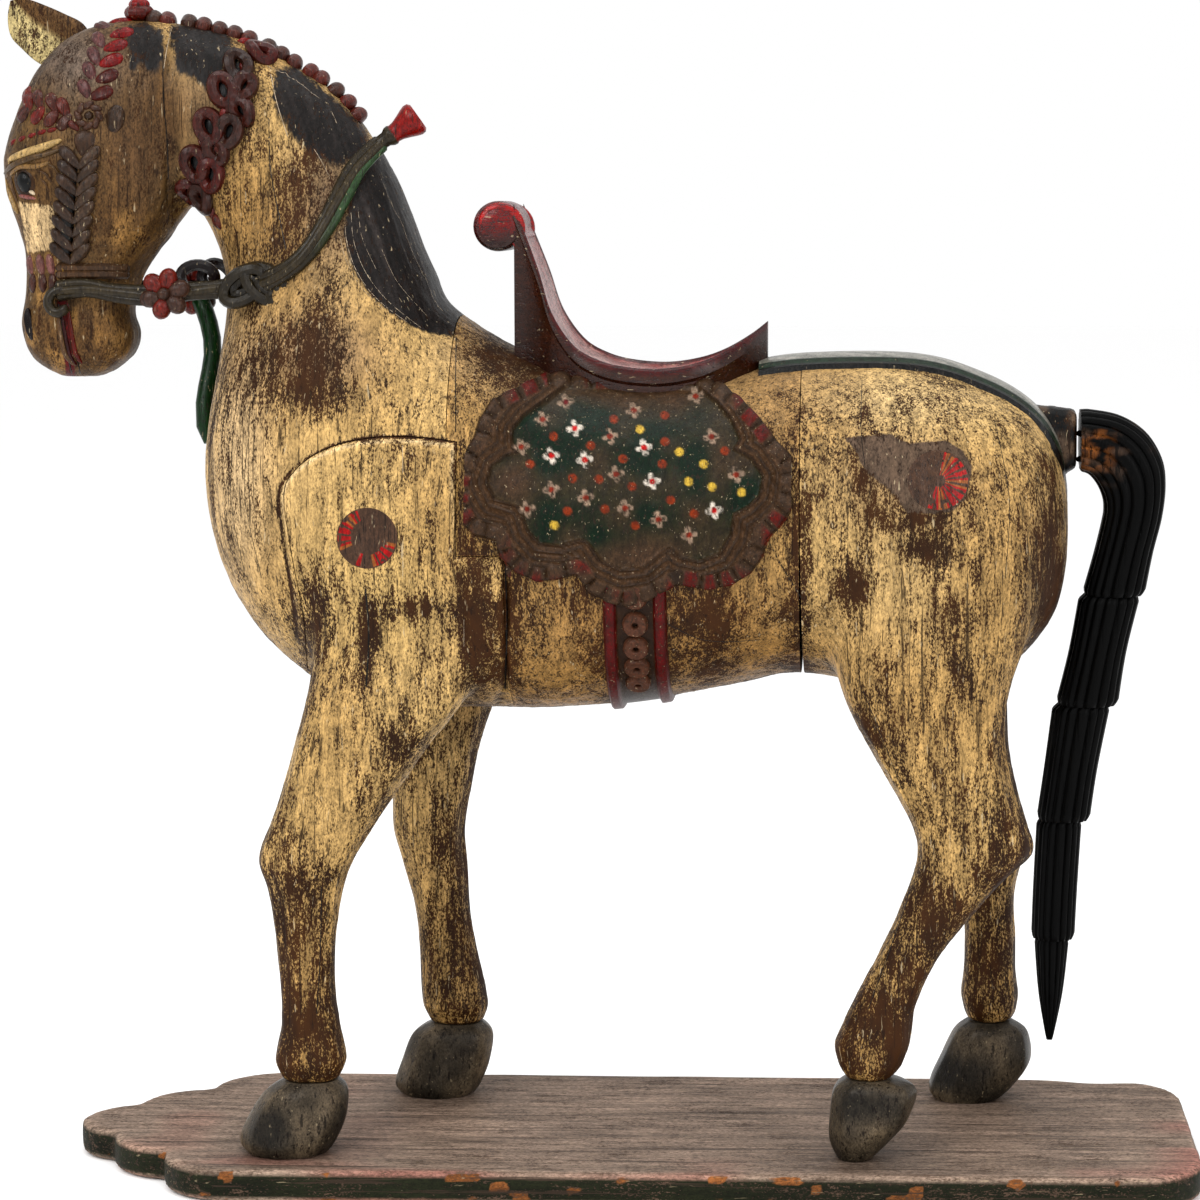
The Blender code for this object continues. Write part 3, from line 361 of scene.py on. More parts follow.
def paint(obj, tint, keep, over=None):
    """Stores the paint's colour, how whole it is, and the colour and reach of a second coat over it."""
    mesh = obj.data
    count = len(mesh.vertices)
    colours = np.ones((count, 4), np.float32)
    colours[:, :3] = tint
    second = np.zeros((count, 4), np.float32)
    if over is not None:
        second[:] = over
    wholeness = np.broadcast_to(keep, count).astype(np.float32)
    for name, kind, key, data in (("tint", "FLOAT_COLOR", "color", colours.ravel()),
                                  ("over", "FLOAT_COLOR", "color", second.ravel()),
                                  ("keep", "FLOAT", "value", wholeness)):
        old = mesh.attributes.get(name)
        if old:
            mesh.attributes.remove(old)
        mesh.attributes.new(name, kind, "POINT").data.foreach_set(key, data)


def points_of(obj):
    """The places of the mesh's points."""
    co = np.empty(len(obj.data.vertices) * 3, np.float32)
    obj.data.vertices.foreach_get("co", co)
    return co.reshape(-1, 3).astype(float)


def normals_of(obj):
    """The normals at the mesh's points."""
    normals = np.empty(len(obj.data.vertices) * 3, np.float32)
    obj.data.vertex_normals.foreach_get("vector", normals)
    return normals.reshape(-1, 3).astype(float)


def move_points(obj, co):
    """Puts the mesh's points at new places."""
    obj.data.vertices.foreach_set("co", co.astype(np.float32).ravel())
    obj.data.update()


def applied(obj):
    """Applies the object's modifiers to its mesh."""
    bpy.context.view_layer.update()
    mesh = bpy.data.meshes.new_from_object(obj.evaluated_get(bpy.context.evaluated_depsgraph_get()))
    obj.modifiers.clear()
    obj.data = mesh
    return obj


def remeshed(obj, voxel):
    """One closed skin round all of the object's shapes."""
    modifier = obj.modifiers.new("remesh", "REMESH")
    modifier.mode = "VOXEL"
    modifier.voxel_size = voxel
    return applied(obj)


def cut(obj, other, operation):
    """Cuts the object by another, with a boolean operation."""
    modifier = obj.modifiers.new("cut", "BOOLEAN")
    modifier.operation = operation
    modifier.solver = "MANIFOLD"
    modifier.object = other
    return applied(obj)


def relax(obj, rounds, weight=1.0):
    """Smooths the mesh, each point towards the middle of its neighbours."""
    mesh = obj.data
    edges = np.empty(len(mesh.edges) * 2, np.int32)
    mesh.edges.foreach_get("vertices", edges)
    a, b = edges.reshape(-1, 2).T
    co = points_of(obj)
    count = len(co)
    degree = np.bincount(a, minlength=count) + np.bincount(b, minlength=count)
    weight = (0.5 * np.broadcast_to(weight, count))[:, None]
    for _ in range(rounds):
        middle = np.stack([
            np.bincount(a, co[b, k], count) + np.bincount(b, co[a, k], count) for k in range(3)
        ], 1) / degree[:, None]
        co += weight * (middle - co)
    move_points(obj, co)


def leg_rings(stations, side, sides=LEG_SIDES):
    """Rings of a leg, cut in long planes, its lower end without rounding between the stations."""
    fine = catmull([(r[0], r[1], r[0], r[2], r[3], r[4]) for r in stations], 8)
    coarse = np.array([(r[0], r[1], r[2], r[3], r[4]) for r in stations][::-1], float)
    rings = []
    for height, front, _, back, half_width, out in fine:
        if height < 175:
            front, back, half_width = (np.interp(height, coarse[:, 0], coarse[:, k]) for k in (1, 2, 3))
        ring = oval(point(front, 0, height), point(back, 0, height), half_width * MM, side * out * MM, sides, 2.2)
        corners = ring[::4]
        planes = np.concatenate([a + np.linspace(0, 1, 4, endpoint=False)[:, None] * (b - a)
                                 for a, b in zip(corners, np.roll(corners, -1, 0))])
        rings.append(0.25 * ring + 0.75 * planes)
    return rings


def whole_figure():
    """Body and legs as one closed mesh, smoothed where the legs grow out of the body."""
    heap = Heap()
    rings = []
    for top_x, top_z, low_x, low_z, half_width in catmull(BODY, BODY_PITCH):
        rings.append(oval(point(top_x, 0, top_z), point(low_x, 0, low_z), half_width * MM, 0, BODY_SIDES,
                          BODY_ROUNDNESS))
    heap.add(rings, ring_faces(len(rings), BODY_SIDES))
    for stations, side in ((NEAR_FORELEG, -1), (FAR_FORELEG, 1), (NEAR_HIND_LEG, -1), (FAR_HIND_LEG, 1)):
        rings = leg_rings(stations, side)
        heap.add(rings, ring_faces(len(rings), LEG_SIDES))
    rings = [oval(point(a, 0, b), point(c, 0, d), w * MM, 0, LEG_SIDES, 3) for a, b, c, d, w in DOCK_STUB]
    heap.add(rings, ring_faces(len(rings), LEG_SIDES))
    figure = remeshed(heap.piece("figure"), VOXEL)
    co = points_of(figure)
    z = co[:, 2] - DECK
    at_legs = ramp(z, 0.50, 0.58) * (1 - ramp(z, 0.84, 0.90)) * ramp(np.abs(co[:, 1]), 0.05, 0.08)
    at_legs *= np.maximum(ramp(co[:, 0], 0.20, 0.26), 1 - ramp(co[:, 0], -0.16, -0.12))
    relax(figure, 8, 0.6)
    relax(figure, 90, at_legs)
    return figure


# Forms of the face, neck and legs: u, v, breadth, height, how far they rise in millimetres
RISES = (
    (30, 186, 14, 12, -5), (34, 160, 34, 9, 4), (60, 200, 20, 40, -2.5), (120, 230, 36, 52, 4.5),
    (60, 330, 16, 40, -1.5), (112, 335, 30, 30, 3.5), (38, 318, 18, 20, 3), (176, 150, 8, 70, -5),
    (188, 205, 16, 22, -5), (150, 262, 10, 22, -2), (70, 240, 30, 22, -1.5),
    (270, 540, 10, 80, -5), (300, 862, 14, 22, 3), (310, 960, 7, 80, -3), (296, 960, 6, 90, 2),
    (330, 960, 6, 90, 2), (440, 880, 7, 90, -3), (960, 820, 14, 60, -4), (985, 855, 16, 20, 3),
    (905, 960, 9, 70, -3), (890, 700, 26, 80, 3), (990, 560, 30, 90, 3), (860, 560, 20, 100, -3),
    (500, 660, 5, 60, -3), (420, 640, 30, 60, -2), (350, 700, 20, 80, 3),
)
CRACKS = (
    (((178, 30), (168, 100), (172, 200)), 3.2, 2.2), (((240, 110), (275, 140), (272, 180), (285, 250)), 3, 2.0),
    (((150, 40), (148, 90)), 2.5, 1.0), (((765, 540), (785, 575), (800, 600)), 3, 2.0),
    (((507, 566), (505, 690)), 3.2, 4.0), (((335, 20), (318, 60), (330, 110)), 2.4, 1.0),
    (((290, 470), (283, 520), (288, 600)), 2.4, 1.2), (((371, 600), (370, 660)), 2.6, 1.2),
    (((560, 640), (562, 690)), 2, 1.0), (((330, 890), (318, 1010)), 2.4, 1.4), (((860, 700), (905, 800)), 2.4, 1.2),
)


PANEL_STRIP = ((466, 572), (500, 560), (504, 640), (502, 690), (492, 703), (478, 698), (468, 660))


def sight_of(x, z, y=-185):
    """Where a point of the figure is seen."""
    place = np.array([point(x, y, z)])
    u, v = seen(place)
    return float(u[0]), float(v[0])


def carve(figure):
    """Raises and sinks the forms of the figure, and opens its cracks."""
    co, normals = points_of(figure), normals_of(figure)
    u, v = seen(co)
    sideways = ramp(np.abs(normals[:, 1]), 0.15, 0.55)
    lift = np.zeros(len(co))
    for *where, height in RISES:
        lift += height * blob(u, v, *where)
    for route, width, depth in CRACKS:
        lift -= depth * along_line(u, v, route, width)
    panel = [sight_of(x, z) for x, z in smooth_shoulder()]
    within = signed(u, v, panel)
    above = 1 - ramp(v, 610, 680)
    lift += above * (2.6 * ramp(within, -1, 5) - 2.6 * ramp(-within, -1, 3) * (1 - ramp(-within, 4, 22)))
    lift += 4.5 * inside(u, v, PANEL_STRIP, 4)
    flow = ramp(inside(u, v, MANE_PATCHES[3], 8), 0.2, 0.8)
    across = (u - 0.32 * (v - 160)) + 5 * value_noise(co, (30, 30, 12), 6)
    lift += flow * (value_noise(np.stack((across * 0.3, v * 0.02, 0 * v), 1), 1, 7) - 0.5) * 2.6
    lift *= sideways
    lift += 1.5 * (value_noise(co, (26, 26, 18), 3) - 0.5) + 1.0 * (value_noise(co, (90, 90, 24), 4) - 0.5)
    lift += 0.9 * (value_noise(co, (220, 220, 34), 5) - 0.5)
    move_points(figure, co + normals * (lift * MM)[:, None])


def prism(name, outline, low_y, high_y):
    """An outline in the XZ plane, in metres, extruded along Y."""
    count = len(outline)
    corners = [(x, y, z) for y in (low_y, high_y) for x, z in outline]
    faces = [list(range(count)), list(range(count, 2 * count))[::-1]]
    faces += [[i, i + count, (i + 1) % count + count, (i + 1) % count] for i in range(count)]
    mesh = bpy.data.meshes.new(name)
    mesh.from_pydata(corners, [], faces)
    obj = bpy.data.objects.new(name, mesh)
    bpy.context.scene.collection.objects.link(obj)
    recalculate(obj)
    return obj


def smooth_shoulder():
    """The panel's outline, its arc drawn smooth."""
    bend = catmull((*SHOULDER[-2:], (-402, 740), *SHOULDER[:6]), 9)
    return [tuple(p) for p in bend] + list(SHOULDER[6:-2])


def shoulder_block(side, grow):
    """The outline of the foreleg's panel and of the space below it, from its inner face outwards."""
    outline = [Vector(p) for p in smooth_shoulder()]
    moved = []
    for i, p in enumerate(outline):
        first = (p - outline[i - 1]).normalized()
        second = (outline[(i + 1) % len(outline)] - p).normalized()
        normal = Vector((first.y + second.y, -first.x - second.x)).normalized()
        x, z = p - normal * grow / MM
        moved.append((x * MM, DECK + z * MM))
    inner = SHOULDER_DEPTH * MM - grow
    return prism("shoulder", moved, *sorted((side * inner, side * 0.4)))


def recalculate(obj):
    """Turns all faces outwards."""
    bm = bmesh.new()
    bm.from_mesh(obj.data)
    bmesh.ops.recalc_face_normals(bm, faces=bm.faces)
    bm.to_mesh(obj.data)
    bm.free()


def split_figure(figure):
    """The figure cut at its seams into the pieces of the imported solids."""
    pieces = {}
    front, rear = FRONT_SEAM_X * MM - SEAM / 2, REAR_SEAM_X * MM + SEAM / 2
    opens, foot = DECK + REAR_SEAM_OPENS_AT * MM, DECK
    below, above, beyond = -0.1, 2, 1.2  # past the figure on all sides
    start, end = front + SEAM, rear - SEAM
    # For each block, the space that it fills and whether the forelegs' blocks are taken out of it
    plans = {
        "forehand": (((-beyond, below), (front, below), (front, above), (-beyond, above)), True),
        "barrel": (((start, below), (end, below), (end, above), (start, above)), True),
        "hindquarters": (((rear, above), (rear, opens), (rear + 2 * REAR_SEAM_OPENING, foot), (beyond, foot),
                          (beyond, above)), False),
        "foreleg_left": (None, False),
        "foreleg_right": (None, False),
    }
    for name, (outline, pocketed) in plans.items():
        piece = bpy.data.objects.new(name + "_carved", figure.data.copy())
        bpy.context.scene.collection.objects.link(piece)
        side = -1 if name.endswith("left") else 1
        territory = prism("territory", outline, -0.6, 0.6) if outline else shoulder_block(side, 0)
        cut(piece, territory, "INTERSECT")
        bpy.data.objects.remove(territory)
        if pocketed:
            for side in (-1, 1):
                pocket = shoulder_block(side, SEAM)
                cut(piece, pocket, "DIFFERENCE")
                bpy.data.objects.remove(pocket)
        pieces[name] = piece
    return pieces


# Where the paint is worn off: u, v, breadth, height, how much is gone
WORN = (
    (312, 350, 42, 40, 0.34), (335, 400, 60, 24, 0.22), (318, 615, 10, 40, 0.24), (367, 630, 7, 42, 0.40),
    (306, 700, 12, 60, 0.28), (478, 630, 14, 70, 0.34), (405, 745, 26, 24, 0.26), (430, 608, 30, 12, 0.26),
    (300, 395, 40, 18, 0.14), (880, 470, 34, 34, 0.50), (925, 500, 34, 30, 0.40), (880, 520, 40, 20, 0.30),
    (925, 555, 34, 14, 0.25), (856, 585, 20, 34, 0.24),
    (1046, 600, 16, 90, 0.30), (868, 720, 26, 50, 0.34), (960, 640, 22, 60, 0.10), (712, 640, 20, 40, 0.34),
    (640, 600, 160, 60, 0.14), (505, 640, 9, 60, 0.25), (960, 790, 60, 60, 0.18), (900, 1000, 60, 120, 0.20),
    (300, 960, 50, 140, 0.16), (440, 900, 40, 180, 0.22), (1000, 960, 40, 120, 0.24), (290, 880, 30, 30, 0.14),
    (790, 520, 14, 120, 0.20), (800, 630, 12, 50, 0.30), (240, 430, 26, 60, 0.08), (60, 90, 70, 60, 0.16),
    (300, 200, 36, 60, 0.12), (1030, 700, 30, 60, 0.2), (1020, 850, 30, 40, 0.2), (480, 350, 40, 26, 0.12),
    (280, 790, 20, 40, 0.2), (415, 610, 34, 14, 0.14), (160, 240, 20, 60, 0.2), (100, 345, 40, 30, 0.12),
    (540, 372, 40, 14, 0.2), (230, 480, 30, 110, 0.03), (1044, 560, 20, 120, 0.24), (1010, 720, 34, 70, 0.16),
    (846, 582, 18, 26, 0.34), (913, 548, 18, 12, 0.36), (545, 385, 60, 30, 0.12),
)
# Shades of the paint: u, v, breadth, height, colour, share
TONES = (
    (70, 62, 62, 40, (96, 84, 70), 0.95), (136, 150, 40, 58, (122, 102, 84), 0.85),
    (122, 225, 40, 44, (150, 108, 60), 0.75), (60, 340, 44, 42, (146, 108, 62), 0.8),
    (112, 340, 32, 36, (136, 96, 54), 0.8), (48, 176, 34, 36, (160, 122, 74), 0.7),
    (335, 200, 34, 84, (118, 98, 82), 0.85), (250, 200, 32, 70, (180, 138, 80), 0.6),
    (300, 250, 30, 60, (156, 122, 76), 0.6), (205, 110, 40, 50, (124, 100, 76), 0.7),
    (320, 355, 60, 40, (134, 108, 90), 0.7), (240, 380, 24, 90, (184, 150, 112), 0.5),
    (640, 620, 170, 70, (140, 102, 60), 0.65), (890, 480, 70, 50, (140, 110, 84), 0.6),
    (905, 400, 90, 30, (232, 200, 144), 0.5), (380, 600, 60, 60, (216, 180, 112), 0.5),
    (900, 600, 50, 90, (222, 188, 130), 0.4), (650, 370, 140, 26, (132, 108, 84), 0.7),
    (295, 480, 30, 60, (200, 166, 112), 0.4), (500, 350, 50, 24, (150, 124, 96), 0.6),
    (262, 230, 60, 60, (150, 112, 66), 0.6), (190, 110, 40, 40, (118, 92, 66), 0.6),
    (330, 210, 40, 50, (110, 86, 66), 0.5), (905, 700, 80, 90, (168, 124, 68), 0.5),
    (760, 430, 50, 60, (152, 118, 78), 0.45), (545, 385, 70, 36, (136, 112, 82), 0.6),
    (240, 480, 30, 100, (248, 212, 160), 0.7), (1046, 600, 30, 150, (132, 102, 72), 0.6),
)
# Outlines of the black mane, of the head and of the patch on the rump that the gold has left, in u and v
MANE_PATCHES = (
    ((133, 28), (150, 22), (168, 34), (170, 60), (158, 78), (146, 66), (134, 72)),
    ((174, 28), (200, 22), (236, 34), (240, 56), (226, 84), (210, 92), (196, 80), (180, 74)),
    ((280, 72), (300, 66), (330, 92), (368, 126), (372, 150), (344, 168), (318, 160), (292, 132), (276, 100)),
    ((378, 146), (396, 156), (412, 205), (428, 240), (448, 280), (470, 322), (462, 338), (430, 335), (398, 320),
     (372, 298), (354, 268), (346, 236), (352, 206), (364, 176)),
)
HEAD = ((-30, -20), (130, -20), (176, 60), (190, 130), (186, 215), (160, 262), (150, 400), (-30, 400))


RUMP_PATCH = (
    (841, 439), (887, 436), (904, 445), (942, 442), (957, 451), (968, 466), (962, 500), (945, 514), (904, 516),
    (887, 492), (863, 474), (851, 451),
)
# Painted shade in the hollows of the face: u, v, breadth, height
HEAD_PAINTED_SHADE = ((168, 210, 16, 40), (134, 330, 20, 36), (110, 372, 44, 14), (60, 60, 60, 30), (24, 150, 16, 24))


def medallion(surface, side, u0, v0, radius, arcs, hub, seed):
    """A painted disc, with red and orange petals left within arcs, each from one bearing to another in degrees,
    from the hub, a share of the radius, outwards."""
    heap = Heap()
    rows, sides = 44, 150
    angle = np.linspace(0, 2 * np.pi, sides, endpoint=False)
    rings = []
    for k in range(rows):
        reach = radius * k / (rows - 1)
        for a in angle:
            hit, normal = surface.spot(u0 + reach * math.cos(a), v0 + reach * math.sin(a), side)
            rings.append(hit + normal * (0.0004 if k < rows - 1 else -0.0012))
    co = np.array(rings)
    reach = np.repeat(np.arange(rows) / (rows - 1), sides)
    bearing = np.tile(np.degrees(angle), rows)
    ragged = value_noise(co, 150, seed)
    petal = np.abs((bearing / 360 * 20) % 1 - 0.5) * 2
    left = np.zeros(len(co), bool)
    for start, end in arcs:
        left |= (bearing - start) % 360 < (end - start) % 360
    left = left & (reach > hub + 0.16 * ragged) & (reach < 0.95) & (ragged > 0.22)
    left = left & (petal > 0.18 + 0.3 * ragged)
    hot = np.where((np.floor(bearing / 18) % 4 == 0)[:, None], srgb(168, 96, 48), srgb(176, 30, 24))
    ground = srgb(92, 68, 54) * (0.75 + 0.5 * value_noise(co, 60, seed + 1))[:, None]
    tint = np.where(left[:, None], hot, ground)
    keep = np.where(left, 0.82, 0.7)
    faces = ring_faces(rows, sides, False)
    heap.add(co, faces if side < 0 else turned(faces), tint, keep)
    return heap


LOW_WEAR = {"foreleg_left": 0.24, "foreleg_right": 0.11}  # how worn the feet are, where it isn't 0.15


def dress_figure(pieces):
    """Paints the figure's pieces: ochre worn to brown, the black mane and the face."""
    panel = [sight_of(x, z) for x, z in smooth_shoulder()]
    for name, piece in pieces.items():
        co = points_of(piece)
        u, v = seen(co)
        tint = mixed(0.6 * GOLD + 0.4 * OCHRE, GOLD, ramp(value_noise(co, (9, 9, 5), 11), 0.25, 0.75))
        keep = 0.67 + 0.34 * (value_noise(co, (13, 13, 6), 12) - 0.5)
        keep += 0.26 * (value_noise(co, (42, 42, 11), 13) - 0.5)
        for *where, gone in WORN:
            keep -= gone * blob(u, v, *where)
        low = 1 - ramp(co[:, 2], 0.10, 0.60)
        keep -= LOW_WEAR.get(name, 0.15) * low
        tint = mixed(tint, OCHRE, 0.5 * low)
        if name == "barrel":
            tint = 0.5 * tint + 0.5 * OCHRE
            keep -= 0.05
        for *where, colour, share in TONES:
            tint = mixed(tint, srgb(*colour), share * blob(u, v, *where))
        over = np.zeros((len(co), 4))
        if name == "forehand":
            head = inside(u, v, HEAD, 16)
            mottle = ramp(value_noise(co, (70, 70, 40), 14), 0.5, 0.85) * ramp(v, 170, 230)
            brown = mixed(srgb(86, 62, 42), srgb(172, 128, 74), 0.7 * mottle)
            # Painted shade darkens the hollows of the face.
            for where in HEAD_PAINTED_SHADE:
                brown = brown * (1 - 0.5 * blob(u, v, *where))[:, None]
            brown = mixed(brown, srgb(124, 108, 96), 0.75 * blob(u, v, 84, 62, 40, 32))
            tint = mixed(tint, brown, 0.88 * head)
            keep = np.maximum(keep, 0.70 * head)
            coat(over, inside(u, v, ((22, 203), (58, 208), (57, 250), (30, 252)), 7), srgb(222, 188, 138))
            keep = np.maximum(keep, 0.85 * inside(u, v, ((20, 203), (60, 206), (58, 252), (30, 256)), 9))
            # A painted highlight on the black lock, brightest where its flow noise is high.
            painted_highlight = blob(u - 0.3 * (v - 240), v, 374, 240, 9, 36)
            painted_highlight += 0.5 * blob(u - 0.4 * (v - 250), v, 425, 250, 7, 50)
            flow = value_noise(np.stack(((u - 0.35 * v) * 0.5, v * 0.03, 0 * v), 1), 1, 15)
            black = BLUEBLACK * (0.25 + 1.1 * flow + 2.4 * painted_highlight * flow)[:, None]
            for outline, soft in zip(MANE_PATCHES, (15, 17, 17, 9)):
                dark = inside(u, v, outline, soft)
                coat(over, dark, black)
                keep = np.maximum(keep, 0.86 * dark)
            coat(over, inside(u, v, ((58, 300), (68, 300), (77, 380), (68, 380)), 2.5), srgb(92, 26, 24))
        if name == "hindquarters":
            patch = inside(u, v, RUMP_PATCH, 5)
            coat(over, patch, srgb(100, 82, 68) * (0.8 + 0.4 * value_noise(co, (60, 60, 20), 16))[:, None])
            keep = np.maximum(keep, 0.84 * patch)
            stub = ramp(co[:, 0], 0.484, 0.496) * ramp(co[:, 2], 0.850, 0.866) * ramp(np.abs(co[:, 1]), 0.044, 0.037)
            rubbed = ramp(value_noise(co, 55, 17), 0.5, 0.75)
            coat(over, stub, mixed(BLACK, srgb(122, 98, 78), 0.6 * rubbed))
            keep = keep * (1 - stub) + 0.75 * stub
        if name in ("forehand", "foreleg_left", "foreleg_right"):
            within = signed(u, v, panel)
            # Along the shoulder joint: a dark band of painted shade where the panel's raised edge steps down to the
            # chest, and a pale band of painted highlight along that edge.
            groove = np.exp(-((within + 1.8) / 1.4) ** 2) * (1 - ramp(v, 580, 660))
            keep -= 0.6 * groove * (np.abs(co[:, 1]) > 0.06)
            tint = mixed(tint, PALE, 0.5 * np.exp(-((within - 2.4) / 1.6) ** 2) * (1 - ramp(v, 470, 560)))
        keep -= 0.25 * (np.abs(co[:, 1]) < 0.05) * (v > 560)
        paint(piece, tint, keep, over)


def coat(over, reach, colour):
    """Lays a second coat where reach is 1, over what is there."""
    over[:, :3] = np.where(over[:, 3:] > 0.02, mixed(over[:, :3], colour, reach), colour)
    over[:, 3] = np.maximum(over[:, 3], reach)


class Surface:
    """The carved figure as something that ornaments are set on."""

    def __init__(self, obj):
        mesh = obj.data
        self.tree = BVHTree.FromPolygons([v.co for v in mesh.vertices], [p.vertices for p in mesh.polygons])

    def spot(self, u, v, side=-1):
        """The point and normal seen at u, v from the left, or from the right in a mirror; else the nearest to it."""
        eye = Vector((SIGHT[0], -side * SIGHT[1], SIGHT[2]))
        ray = Vector(((u - SIGHT_U) / SIGHT_LENGTH, -side, -(v - SIGHT_V) / SIGHT_LENGTH)).normalized()
        hit, normal, _, _ = self.tree.ray_cast(eye, ray)
        if hit is None:
            hit, normal, _, _ = self.tree.find_nearest(eye + ray * ((-eye.y + side * 0.06) / ray.y))
        return hit, normal


def towards(angle):
    """The direction in space of a bearing in the view, in degrees, 0 to the right and 90 down."""
    return Vector((math.cos(math.radians(angle)), 0, -math.sin(math.radians(angle))))


def leaf(heap, surface, u, v, angle, length, breadth, height, tint, keep=0.75, pointed=0.5, groove=0.0,
         sunk=0.25, twice=True):
    """One carved lock or bead on both sides: sizes in view units, an oval drawn to a point at one end."""
    hit, normal = surface.spot(u, v)
    run = towards(angle)
    across = normal.cross(run).normalized()
    run = across.cross(normal).normalized()
    unit = 1.2 * MM
    a, girth, turn = egg()
    girth = girth * (1 - pointed * 0.5 * (1 + a))
    b = np.outer(girth, np.cos(turn))
    c = np.outer(girth, np.sin(turn))
    c = c * (1 - groove * np.exp(-(b / 0.22) ** 2) * (c > 0))
    co = (np.array(hit) + a[:, None, None] * np.array(run) * length * unit / 2
          + b[..., None] * np.array(across) * breadth * unit / 2
          + (c - sunk)[..., None] * np.array(normal) * height * unit)
    for side in (1, -1) if twice else (1,):
        both = co * np.array((1, side, 1))
        faces = ring_faces(len(a), len(turn))
        heap.add(both, faces if side > 0 else turned(faces), tint, keep)


def bar(heap, points, radius, tint, keep=0.75, sides=10, flat=1.0):
    """A round bar along points, drawn in at its ends; radius is one number or one for each point."""
    points = [Vector(p) for p in points]
    count = len(points)
    radius = np.broadcast_to(radius, count).copy()
    radius[0] *= 0.35
    radius[-1] *= 0.35
    up = Vector((0.1, 0.3, 1)).normalized()
    rings = []
    for i, p in enumerate(points):
        run = (points[min(i + 1, count - 1)] - points[max(i - 1, 0)]).normalized()
        first = run.cross(up)
        first = first.normalized() if first.length > 1e-4 else Vector((0, 1, 0))
        second = run.cross(first).normalized()
        up = -second if up.dot(second) < 0 else second
        second = up
        first = second.cross(run).normalized()
        angle = 2 * np.pi * np.arange(sides) / sides
        ring = (np.array(p) + np.outer(np.cos(angle), np.array(first)) * radius[i]
                + np.outer(np.sin(angle), np.array(second)) * radius[i] * flat)
        rings.append(ring)
    heap.add(rings, ring_faces(count, sides), tint, keep)


def smooth_line(points, pitch):
    """Points on a smooth curve through the given ones."""
    return [Vector(p) for p in catmull([tuple(q) for q in points], pitch)]


def loop(heap, centre, normal, run, long_radius, short_radius, thick, tint, keep=0.75):
    """A closed oval ring with its axis along normal."""
    across = normal.cross(run).normalized()
    run = across.cross(normal).normalized()
    rows, sides = 26, 8
    rings = []
    for k in range(rows):
        a = 2 * math.pi * k / rows
        middle = centre + run * (long_radius * math.cos(a)) + across * (short_radius * math.sin(a))
        out = (run * math.cos(a) * short_radius + across * math.sin(a) * long_radius).normalized()
        middle = middle + normal * (0.35 * thick * math.sin(2 * a))
        ring = []
        for j in range(sides):
            b = 2 * math.pi * j / sides
            ring.append(middle + out * (thick * math.cos(b)) + normal * (thick * math.sin(b)))
        rings.append(ring)
    faces = []
    for i in range(rows):
        for j in range(sides):
            i2, j2 = (i + 1) % rows, (j + 1) % sides
            faces.append([i * sides + j, i * sides + j2, i2 * sides + j2, i2 * sides + j])
    heap.add([[tuple(p) for p in ring] for ring in rings], faces, tint, keep)


def mirrored(heap):
    """Adds the same shapes on the other side."""
    count = heap.count
    faces = [[k + count for k in face] for face in turned(heap.faces)]
    co = np.concatenate(heap.co) * np.array((1, -1, 1))
    heap.co.append(co)
    heap.tint.append(np.concatenate(heap.tint))
    heap.keep.append(np.concatenate(heap.keep))
    heap.faces.extend(faces)
    heap.count *= 2


def dark_red(seed, low=0.0, high=1.0):
    """A colour between dark brown and red, chosen by a number."""
    t = low + (high - low) * (math.sin(seed * 12.9898) * 43758.5453 % 1)
    return mixed(srgb(74, 52, 44), srgb(150, 32, 26), t)


def crest_beads(heap, surface):
    """A row of ribbed beads along the crest."""
    crest = smooth_line([point(x, 0, z) for x, z in (
        (-600, 1388), (-530, 1377), (-468, 1357), (-416, 1331), (-366, 1293), (-328, 1253))], 0.006)
    length = sum((b - a).length for a, b in zip(crest, crest[1:]))
    beads = 15
    for i in range(beads):
        target = length * (i + 0.5) / beads
        k = 0
        while k < len(crest) - 2 and target > (crest[k + 1] - crest[k]).length:
            target -= (crest[k + 1] - crest[k]).length
            k += 1
        hit, normal, _, _ = surface.tree.find_nearest(crest[k])
        run = (crest[k + 1] - crest[max(k - 1, 0)]).normalized()
        across = normal.cross(run).normalized()
        a, girth, turn = egg(10, 14)
        girth = girth ** 0.8
        b, c = np.outer(girth, np.cos(turn)), np.outer(girth, np.sin(turn))
        ridge = 1 + 0.07 * np.cos(5 * np.arctan2(b, c + TINY))
        co = (np.array(hit) + a[:, None, None] * np.array(run) * 0.0108
              + (b * ridge)[..., None] * np.array(across) * 0.018
              + (c * ridge)[..., None] * np.array(normal) * 0.0140)
        heap.add(co, ring_faces(len(a), len(turn)), dark_red(i, 0.0, 0.26), 0.7)


def top_knot(heap):
    """The top-knot: three lobed balls, one on another."""
    knob = point(-612, 0, 1389)
    for j, (radius, rise) in enumerate(((17, 2), (12, 12), (7, 19))):
        up, girth, turn = egg(9, 14)
        lobes = 1 + 0.12 * np.cos(6 * turn)
        a, b = np.outer(girth, np.cos(turn) * lobes), np.outer(girth, np.sin(turn) * lobes)
        c = np.repeat(up[:, None], len(turn), 1) * 0.7
        co = np.stack((a, b, c), -1) * radius * MM + np.array(knob) + np.array((0, 0, rise * MM - 0.003))
        heap.add(co, ring_faces(len(up), len(turn)), srgb(140, 28, 23) if j else srgb(96, 38, 34), 0.7)


def poll_braid(heap, surface):
    """The braid down the forehead, in two rows of locks."""
    for i, (u, v) in enumerate(((126, 22), (127, 35), (121, 48), (116, 63), (112, 79), (106, 96))):
        leaf(heap, surface, u, v, 158, 27, 18, 8, srgb(128, 24, 20) if i < 4 else srgb(84, 40, 36), 0.66, 0.3, 0.2)
    for i, (u, v) in enumerate(((108, 27), (104, 42), (99, 58), (95, 74), (90, 92))):
        leaf(heap, surface, u, v, 62, 25, 17, 7.5, srgb(104, 66, 64), 0.64, 0.4, 0.25)


